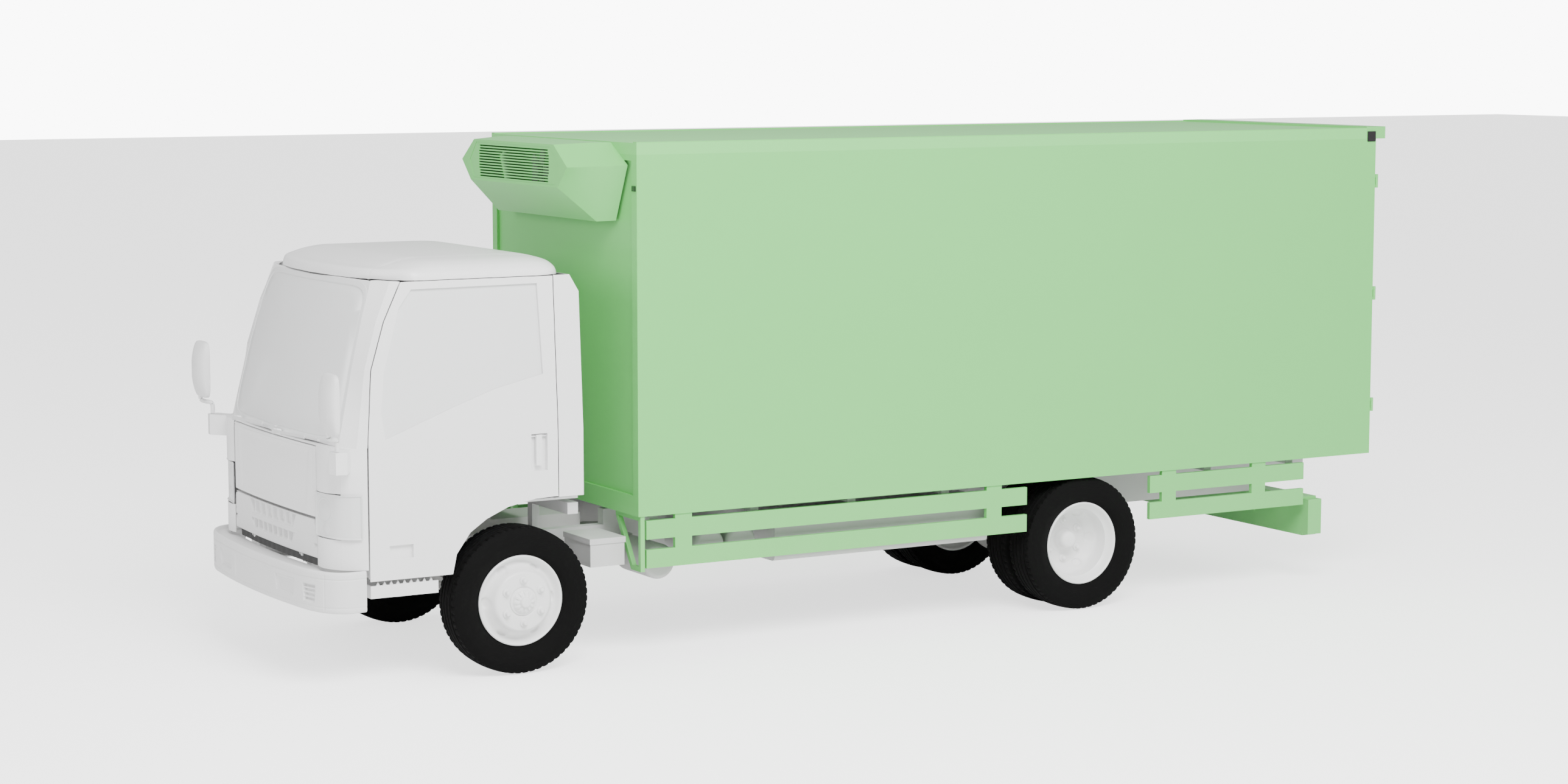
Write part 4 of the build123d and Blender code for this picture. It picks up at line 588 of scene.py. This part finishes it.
def screen_outline(inset, count=120):
    """Rounded outline as (u, z), drawn in by an inset in metres."""
    angle = np.arange(count) * 2 * np.pi / count
    c, s = superellipse(angle, 12.0)
    half_z = (2.040 - 1.236) / 2 - inset
    return c * (1.0 - inset / 0.72), (2.040 + 1.236) / 2 + half_z * s


def ring_between(loops, close=False):
    """Surface through a stack of closed loops with the same number of points."""
    return surface(np.stack(loops), wrap_rows=close, wrap_columns=True)


def pushed(points, direction, depth):
    return points + np.asarray(direction) * depth


screen_out = np.array([0.965, 0.0, 0.262])
rubber = finish("window_rubber", linear(60, 60, 60), 0.7, mottle=0.08, fine=900.0, dust=0.0)
pane_white = finish("blanked_pane", linear(228, 229, 229), 0.3, coat=0.5, mottle=0.01, fine=120.0,
                    bump=0.02, dust=0.0)


def screen_loop(inset, depth):
    u, z = screen_outline(inset)
    return pushed(screen_point(u, z), screen_out, depth)


frame_loops = [screen_loop(0.0, -0.007), screen_loop(0.0, 0.0005), screen_loop(0.004, 0.0012),
               screen_loop(0.022, 0.0012), screen_loop(0.026, -0.0035), screen_loop(0.030, -0.0035),
               screen_loop(0.033, -0.0005)]
edge_u, edge_z = screen_outline(0.033)
middle_z = (2.040 + 1.236) / 2
for scale in (0.9, 0.75, 0.6, 0.45, 0.3, 0.15, 0.03):
    frame_loops.append(screen_point(edge_u * scale, middle_z + (edge_z - middle_z) * scale))
frame_loops.append(screen_point(edge_u * 0.0, middle_z + edge_z * 0.0))
piece("windscreen_pane", ring_between(frame_loops), "cab", pane_white, "cab_glass", ["windscreen"],
      closed=False, wall=0.005)
repaint(pane_white, "door_glass_left", "door_glass_right")


def surround_loop(inset, depth, power):
    """Outline of the steel frame round the screen; a high power makes its corners square."""
    angle = np.arange(240) * 2 * np.pi / 240
    c, s = superellipse(angle, power)
    half_z = (2.0465 - 1.2285) / 2 - inset
    on_glass = screen_point(c * (1.0 - inset / 0.72), (2.0465 + 1.2285) / 2 + half_z * s)
    return pushed(on_glass, screen_out, depth)


surround = [surround_loop(*step) for step in ((0.0, -0.0060, 90.0), (0.0, -0.0012, 90.0),
                                              (0.010, -0.0012, 14.0), (0.030, -0.0060, 12.0))]
piece("screen_surround", ring_between(surround, close=True), "cab", cab_white, "cab_white")


# ---- nose lid, grille and bumper ----------------------------------------------------------------
# The nose is a bowed steel lid over a moulded grille panel with two ribbed intakes.  Below
# it a one-piece bumper wraps the corners, with recesses, a plate area and end seams.
def nose_x(y):
    """Front face of the bowed nose, ahead of the axle line."""
    return 1.012 - 8.7716 + np.sqrt(8.7716 ** 2 - y ** 2)


def line(value, centre, half_width):
    """Soft groove across a value, one in its middle and nothing outside."""
    return np.exp(-((value - centre) / half_width) ** 2)


def trapezoid(y, z, top, top_half, low, low_half, edge=0.004):
    """Mask of a trapezoid with a soft edge: one inside, nothing outside."""
    half = low_half + (top_half - low_half) * (z - low) / (top - low)
    reach = np.maximum(np.abs(y) - half, np.maximum(z - top, low - z))
    return 1.0 - smooth_step(reach, -edge, edge)


def nose_grid(half, low, high, relief, step=0.0035, roll=0.010):
    """Grid over the bowed nose, its rim rolled back; relief is a depth at each (y, z)."""
    y = np.linspace(-half, half, int(2 * half / step))[None, :]
    z = np.linspace(low, high, max(8, int((high - low) / step)))[:, None]
    edge = np.minimum(np.minimum(y + half, half - y), np.minimum(z - low, high - z))
    rolled = roll * (1.0 - np.sqrt(np.clip(1.0 - (1.0 - np.clip(edge / roll, 0.0, 1.0)) ** 2, 0.0, 1.0)))
    x = nose_x(y) - relief(y, z) - rolled
    return surface(np.stack([axle_x + x, y + 0.0 * x, z + 0.0 * x], -1))


def lid_relief(y, z):
    """A lip line along the top, a shallow dish with soft shoulders and two long side creases."""
    dish = 0.004 * trapezoid(y, z, 1.185, 0.50, 0.885, 0.46, edge=0.022)
    return 0.0025 * line(z, 1.203, 0.0025) + dish + 0.0015 * line(np.abs(y), 0.545, 0.004)


def intake(y, z, top, top_half, low, low_half, pitch, depth):
    """Recess with upright ribs and a double lip below it."""
    hollow = trapezoid(y, z, top, top_half, low, low_half)
    rib = smooth_step(np.abs((y / pitch + 0.5) % 1.0 - 0.5) * pitch, 0.008, 0.013)
    lip = line(z, low - 0.007, 0.002) * (np.abs(y) < low_half + 0.01)
    return hollow * depth * (0.25 + 0.75 * rib) + 0.0025 * lip


def grille_relief(y, z):
    upper = intake(y, z, 0.832, 0.330, 0.772, 0.290, 0.088, 0.024)
    lower = intake(y, z, 0.736, 0.310, 0.690, 0.270, 0.072, 0.026)
    corner = 0.018 * trapezoid(np.abs(y) - 0.572, z, 0.836, 0.016, 0.818, 0.004)
    corner = corner + 0.018 * trapezoid(np.abs(y) - 0.572, z, 0.716, 0.016, 0.700, 0.004)
    return upper + lower + corner + 0.002 * line(z, 0.752, 0.003)


moulded = finish("moulded_white", linear(228, 228, 228), 0.5, mottle=0.015, fine=800.0, bump=0.1, dust=0.12)
piece("nose_lid_panel", nose_grid(0.590, 0.852, 1.217, lid_relief), "lid", cab_white, "cab_white", ["front_lid"],
      closed=False, wall=0.004)
piece("grille_panel", nose_grid(0.590, 0.644, 0.842, grille_relief, step=0.0028), "cab", moulded, "trim_white",
      ["front_grille"], closed=False, wall=0.004)


def baffle():
    """Rubber flap hung behind the grille's lower edge, set back and just clear of the bumper's shelf."""
    y = np.linspace(-0.575, 0.575, 160)[None, :]
    z = np.linspace(0.6005, 0.668, 16)[:, None]
    x = nose_x(y) - 0.026 + 0.001 * np.sin(y * 90.0) * (0.668 - z) / 0.067
    return surface(np.stack([axle_x + x, y + 0.0 * x, z + 0.0 * x], -1))


piece("nose_baffle", baffle(), "cab", rubber, "marker_black", closed=False, wall=0.003)


def even_path(points, count):
    """Curve through plan points, resampled at even steps of its length."""
    curve = smooth_profile(points, 24)
    length = np.concatenate([[0.0], np.cumsum(np.hypot(*np.diff(curve, axis=0).T))])
    steps = np.linspace(0.0, length[-1], count)
    return np.stack([np.interp(steps, length, curve[:, k]) for k in range(2)], -1)


def plan_offset(path, distance):
    """Plan path moved to its right-hand side by a distance at each point."""
    along = np.gradient(path, axis=0)
    along = along / np.linalg.norm(along, axis=1, keepdims=True)
    return path[:, None, :] + np.stack([along[:, 1], -along[:, 0]], -1)[:, None, :] * distance[..., None]


def with_height(plan, z):
    """Plan points with their heights put beside them."""
    return np.concatenate([plan, np.broadcast_to(z[..., None], plan.shape[:2] + (1,))], -1)


def bumper_relief(y, z):
    """Band groove, two double-lined hollows, plate step, slatted fog pockets and end seams."""
    a = np.abs(y)
    hollow = 0.010 * trapezoid(a - 0.430, z, 0.545, 0.115, 0.462, 0.095)
    hollow = hollow + 0.004 * trapezoid(a - 0.430, z, 0.532, 0.098, 0.474, 0.082)
    plate = 0.003 * trapezoid(y, z, 0.560, 0.262, 0.424, 0.262, edge=0.003)
    pocket = trapezoid(a - 0.690, z, 0.540, 0.052, 0.452, 0.044)
    slat = 0.35 + 0.65 * smooth_step(np.abs((z / 0.022) % 1.0 - 0.5), 0.16, 0.30)
    band = 0.003 * line(z, 0.573, 0.0028)
    seam = 0.004 * line(a, 0.802, 0.0022)
    return hollow + plate + pocket * 0.022 * slat + band + seam + 0.002 * line(z, 0.430, 0.003)


half_plan = [(0.845, 0.8805), (0.900, 0.8842), (0.950, 0.8830), (1.006, 0.850), (1.0495, 0.787), (1.0765, 0.710),
             (1.092, 0.637)]
middle_plan = [(1.1275 - 0.0355 * (y / 0.637) ** 2, y) for y in np.linspace(0.53, -0.53, 9)]
bumper_plan = np.array(half_plan + middle_plan + [(x, -y) for x, y in half_plan[::-1]])
bumper_path = even_path(bumper_plan, 620)
rise = np.linspace(0.414, 0.594, 60)
section = [(0.030, 0.401), (0.012, 0.4015), (0.003, 0.406)] + [(0.0, z) for z in rise]
section += [(0.0012, 0.602), (0.005, 0.609), (0.011, 0.6118), (0.017, 0.609), (0.020, 0.600), (0.024, 0.594),
            (0.130, 0.592), (0.130, 0.588), (0.032, 0.587), (0.029, 0.575), (0.029, 0.415), (0.030, 0.405)]
section = np.array(section)
face_rows = (section[:, 0] == 0.0).astype(float)
bumper_y = bumper_path[:, 1][:, None]
shelf_rows = (section[:, 0] > 0.1).astype(float)[None, :]
shelf_cut = 0.035 * (1.0 - smooth_step(0.74 - np.abs(bumper_y), 0.0, 0.10)) * shelf_rows
relief = face_rows[None, :] * bumper_relief(bumper_y, section[:, 1][None, :])
depths = section[:, 0][None, :] - shelf_cut + relief
bumper_xy = plan_offset(bumper_path, depths)
bumper_points = with_height(bumper_xy, section[:, 1][None, :])
bumper_points[..., 0] += axle_x
ends = bumper_points[[0, -1]].mean(axis=1, keepdims=True) + 0.0 * bumper_points[[0, -1]]
bumper_points = np.concatenate([ends[:1], bumper_points, ends[1:]])


def cushion(low, high, crown=0.018, lean=0.0, turns=48, stacks=24):
    """Rounded slab between two corners; its faces swell by the crown and it may lean back."""
    low, high = np.array(low), np.array(high)
    u = np.linspace(-np.pi, np.pi, turns, endpoint=False)[None, :]
    v = np.linspace(-np.pi / 2, np.pi / 2, stacks)[:, None]
    cu, su = superellipse(u, 7.0)
    cv, sv = superellipse(v, 7.0)
    unit = np.stack([cv * cu, cv * su, sv + 0.0 * u], -1)
    swell = 1.0 - crown / np.min(high - low) * (unit ** 2).sum(-1, keepdims=True) / 2.0
    points = (low + high) / 2 + unit * (high - low) / 2 * swell
    points[..., 0] -= lean * (points[..., 2] - low[2])
    return surface(points, wrap_columns=True)


arms = [cushion((axle_x + 0.938, y - 0.0185, 0.512), (axle_x + 1.104, y + 0.0185, 0.560), crown=0.001)
        for y in (0.3535, -0.3535)]
piece("bumper_shell", joined(surface(bumper_points, wrap_columns=True), *arms), "chassis", moulded, "trim_white",
      ["front_bumper"])


# ---- headlamps ------------------------------------------------------------------------------------
# Each lamp is one moulded lens that carries the nose round the corner.  It is blanked off
# white, with a raised rim and two shallow round bowls showing through.
def corner_arc(count):
    """Plan curve from the lid's edge round to the door, as offsets from the axle line."""
    return even_path([(0.9925, 0.598), (0.9800, 0.700), (0.9575, 0.786), (0.9110, 0.842), (0.8560, 0.868)], count)


def lamp_lens():
    """Grid round the corner between two seams, its rim rolled in, with two dished bowls."""
    arc = corner_arc(110)
    z = np.linspace(0.767, 0.992, 80)[None, :]
    run = np.linspace(0.0, 1.0, 110)[:, None]
    keep = run * 0.30
    rim = np.minimum(np.minimum(keep, 0.30 - keep), np.minimum(z - 0.767, 0.992 - z))
    rolled = 0.008 * (1.0 - smooth_step(rim, 0.0, 0.009))
    bowls = 0.0 * rim
    for place, height, size in ((0.075, 0.905, 0.056), (0.095, 0.812, 0.032)):
        reach = np.hypot(keep - place, z - height) / size
        bowls = bowls + 0.004 * np.clip(1.0 - reach ** 2, 0.0, 1.0) + 0.0015 * line(reach, 1.08, 0.05)
    xy = plan_offset(arc, rolled + bowls - 0.0015)
    return surface(with_height(xy + np.array([axle_x, 0.0]), z))


lens = finish("lamp_lens", linear(222, 223, 223), 0.2, coat=0.6, mottle=0.01, fine=150.0, bump=0.03, dust=0.05)
both_sides("headlamp_lens", lamp_lens(), "cab", lens, "lamp_glass", [], closed=False, wall=0.004)
for side in ("left", "right"):
    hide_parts("headlamps")


# ---- mirrors ----------------------------------------------------------------------------------------
# A tall bowed plastic head on a bent steel tube that turns in the wedge bracket at the
# belt line.  The glass faces back.
def tube(path, radius, around=16, per_span=8):
    """Round tube along a smooth curve through points, its ends closed."""
    curve = smooth_profile(path, per_span)
    along = np.gradient(curve, axis=0)
    along = along / np.linalg.norm(along, axis=1, keepdims=True)
    guide = np.where(np.abs(along[:, 2:]) > 0.9, [[1.0, 0.0, 0.0]], [[0.0, 0.0, 1.0]])
    first = np.cross(along, guide)
    first = first / np.linalg.norm(first, axis=1, keepdims=True)
    second = np.cross(along, first)
    angle = (np.arange(around) * 2 * np.pi / around)[None, :, None]
    out = np.cos(angle) * first[:, None, :] + np.sin(angle) * second[:, None, :]
    rings = curve[:, None, :] + radius * out
    return surface(np.concatenate([point_ring(rings[0]), rings, point_ring(rings[-1])]), wrap_columns=True)


def mirror_head():
    """Rounded upright head, bowed forwards, its back face flat for the glass."""
    v = np.linspace(-np.pi / 2, np.pi / 2, 48)[:, None]
    u = np.linspace(-np.pi, np.pi, 72, endpoint=False)[None, :]
    cu, su = superellipse(u, 5.0)
    cv, sv = superellipse(v, 5.5)
    y = 0.9345 + 0.0955 * cv * cu
    z = 1.4655 + 0.1535 * sv + 0.0 * u
    bow = 0.030 * (1.0 - ((z - 1.4655) / 0.1535) ** 2 * 0.55) * (1.0 - ((y - 0.9345) / 0.0955) ** 2 * 0.35)
    x = 1.036 + cv * np.where(su > 0.0, bow * su * 1.9, 0.008 * su)
    return surface(np.stack([axle_x + x, y, z], -1), wrap_columns=True)


mirror_path = np.array([(1.000, 0.902, 1.226), (1.000, 0.902, 1.262), (1.008, 0.907, 1.284),
                        (1.040, 0.922, 1.292), (1.056, 0.932, 1.306), (1.057, 0.934, 1.36)])
mirror_arm = tube(mirror_path + np.array([axle_x, 0.0, 0.0]), 0.0115)
both_sides("mirror_head", joined(mirror_head(), mirror_arm), "mirror_{}", moulded, "trim_white",
           ["mirror_{}"])


# ---- steering wheel ------------------------------------------------------------------------------------
# A two-tone moulded rim on three spokes over a padded boss, fixed on the raked column.
def steering_wheel():
    centre = np.array([axle_x + 0.560, 0.420, 1.190])
    axis = np.array([-0.42, 0.0, 0.9075])
    across = np.array([0.0, 1.0, 0.0])
    up = np.cross(axis, across)
    turn = (np.arange(96) * 2 * np.pi / 96)[:, None, None]
    ring = (np.arange(20) * 2 * np.pi / 20)[None, :, None]
    out = np.cos(turn) * across + np.sin(turn) * up
    grip = 0.0135 + 0.0006 * np.cos(turn * 32.0)
    rim = centre + out * (0.191 + grip * np.cos(ring)) + axis * grip * np.sin(ring)
    parts = [surface(rim, wrap_rows=True, wrap_columns=True)]
    for angle in (0.0, np.pi, -np.pi / 2):
        reach = np.cos(angle) * across + np.sin(angle) * up
        spoke = [centre - axis * 0.035, centre + reach * 0.09 - axis * 0.02, centre + reach * 0.188]
        parts.append(tube(spoke, 0.0105))
    profile = smooth_profile([(0.0005, 0.012), (0.04, 0.010), (0.060, -0.002), (0.062, -0.025), (0.045, -0.048),
                              (0.0005, -0.05)], 4)
    spin = (np.arange(48) * 2 * np.pi / 48)[None, :, None]
    disc = np.cos(spin) * across + np.sin(spin) * up
    boss = centre + disc * profile[:, 0][:, None, None] + axis * profile[:, 1][:, None, None]
    parts.append(surface(boss, wrap_columns=True))
    return joined(*parts)


piece("steering_wheel_rim", steering_wheel(), "steering_wheel", grip_rubber, "wheel_grip", ["steering_wheel"])


# ---- cab seats --------------------------------------------------------------------------------
# Foam cushions under woven cloth on plain pans: a driver's seat and a double bench, each with
# a squab and head rests.  The cloth is pulled over crowned foam and pinched at the seams.
seat_cloth = finish("seat_cloth", linear(92, 96, 98), 0.9, mottle=0.12, coarse=30.0, fine=2600.0,
                    bump=0.5, dust=0.0)
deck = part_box("seats")[0].z
rows = {"driver": (0.172, 0.668), "bench": (-0.678, 0.128)}
for label, (left, right) in rows.items():
    squab = cushion((axle_x - 0.188, left, deck + 0.002), (axle_x + 0.328, right, deck + 0.138))
    piece(f"seat_{label}_cushion", squab, "cab", seat_cloth, "seat_fabric",
                    ["seats"] if label == "driver" else [])
    back = cushion((axle_x - 0.195, left, deck + 0.142), (axle_x - 0.095, right, deck + 0.80), lean=0.155)
    piece(f"seat_{label}_back", back, "cab", seat_cloth, "seat_fabric")
rest_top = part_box("seats")[1].z
for label, place in (("driver", 0.420), ("bench_outer", -0.500), ("bench_inner", -0.060)):
    rest = cushion((axle_x - 0.318, place - 0.125, rest_top - 0.17),
                   (axle_x - 0.235, place + 0.125, rest_top - 0.001))
    piece(f"head_rest_{label}", rest, "cab", seat_cloth, "seat_fabric")
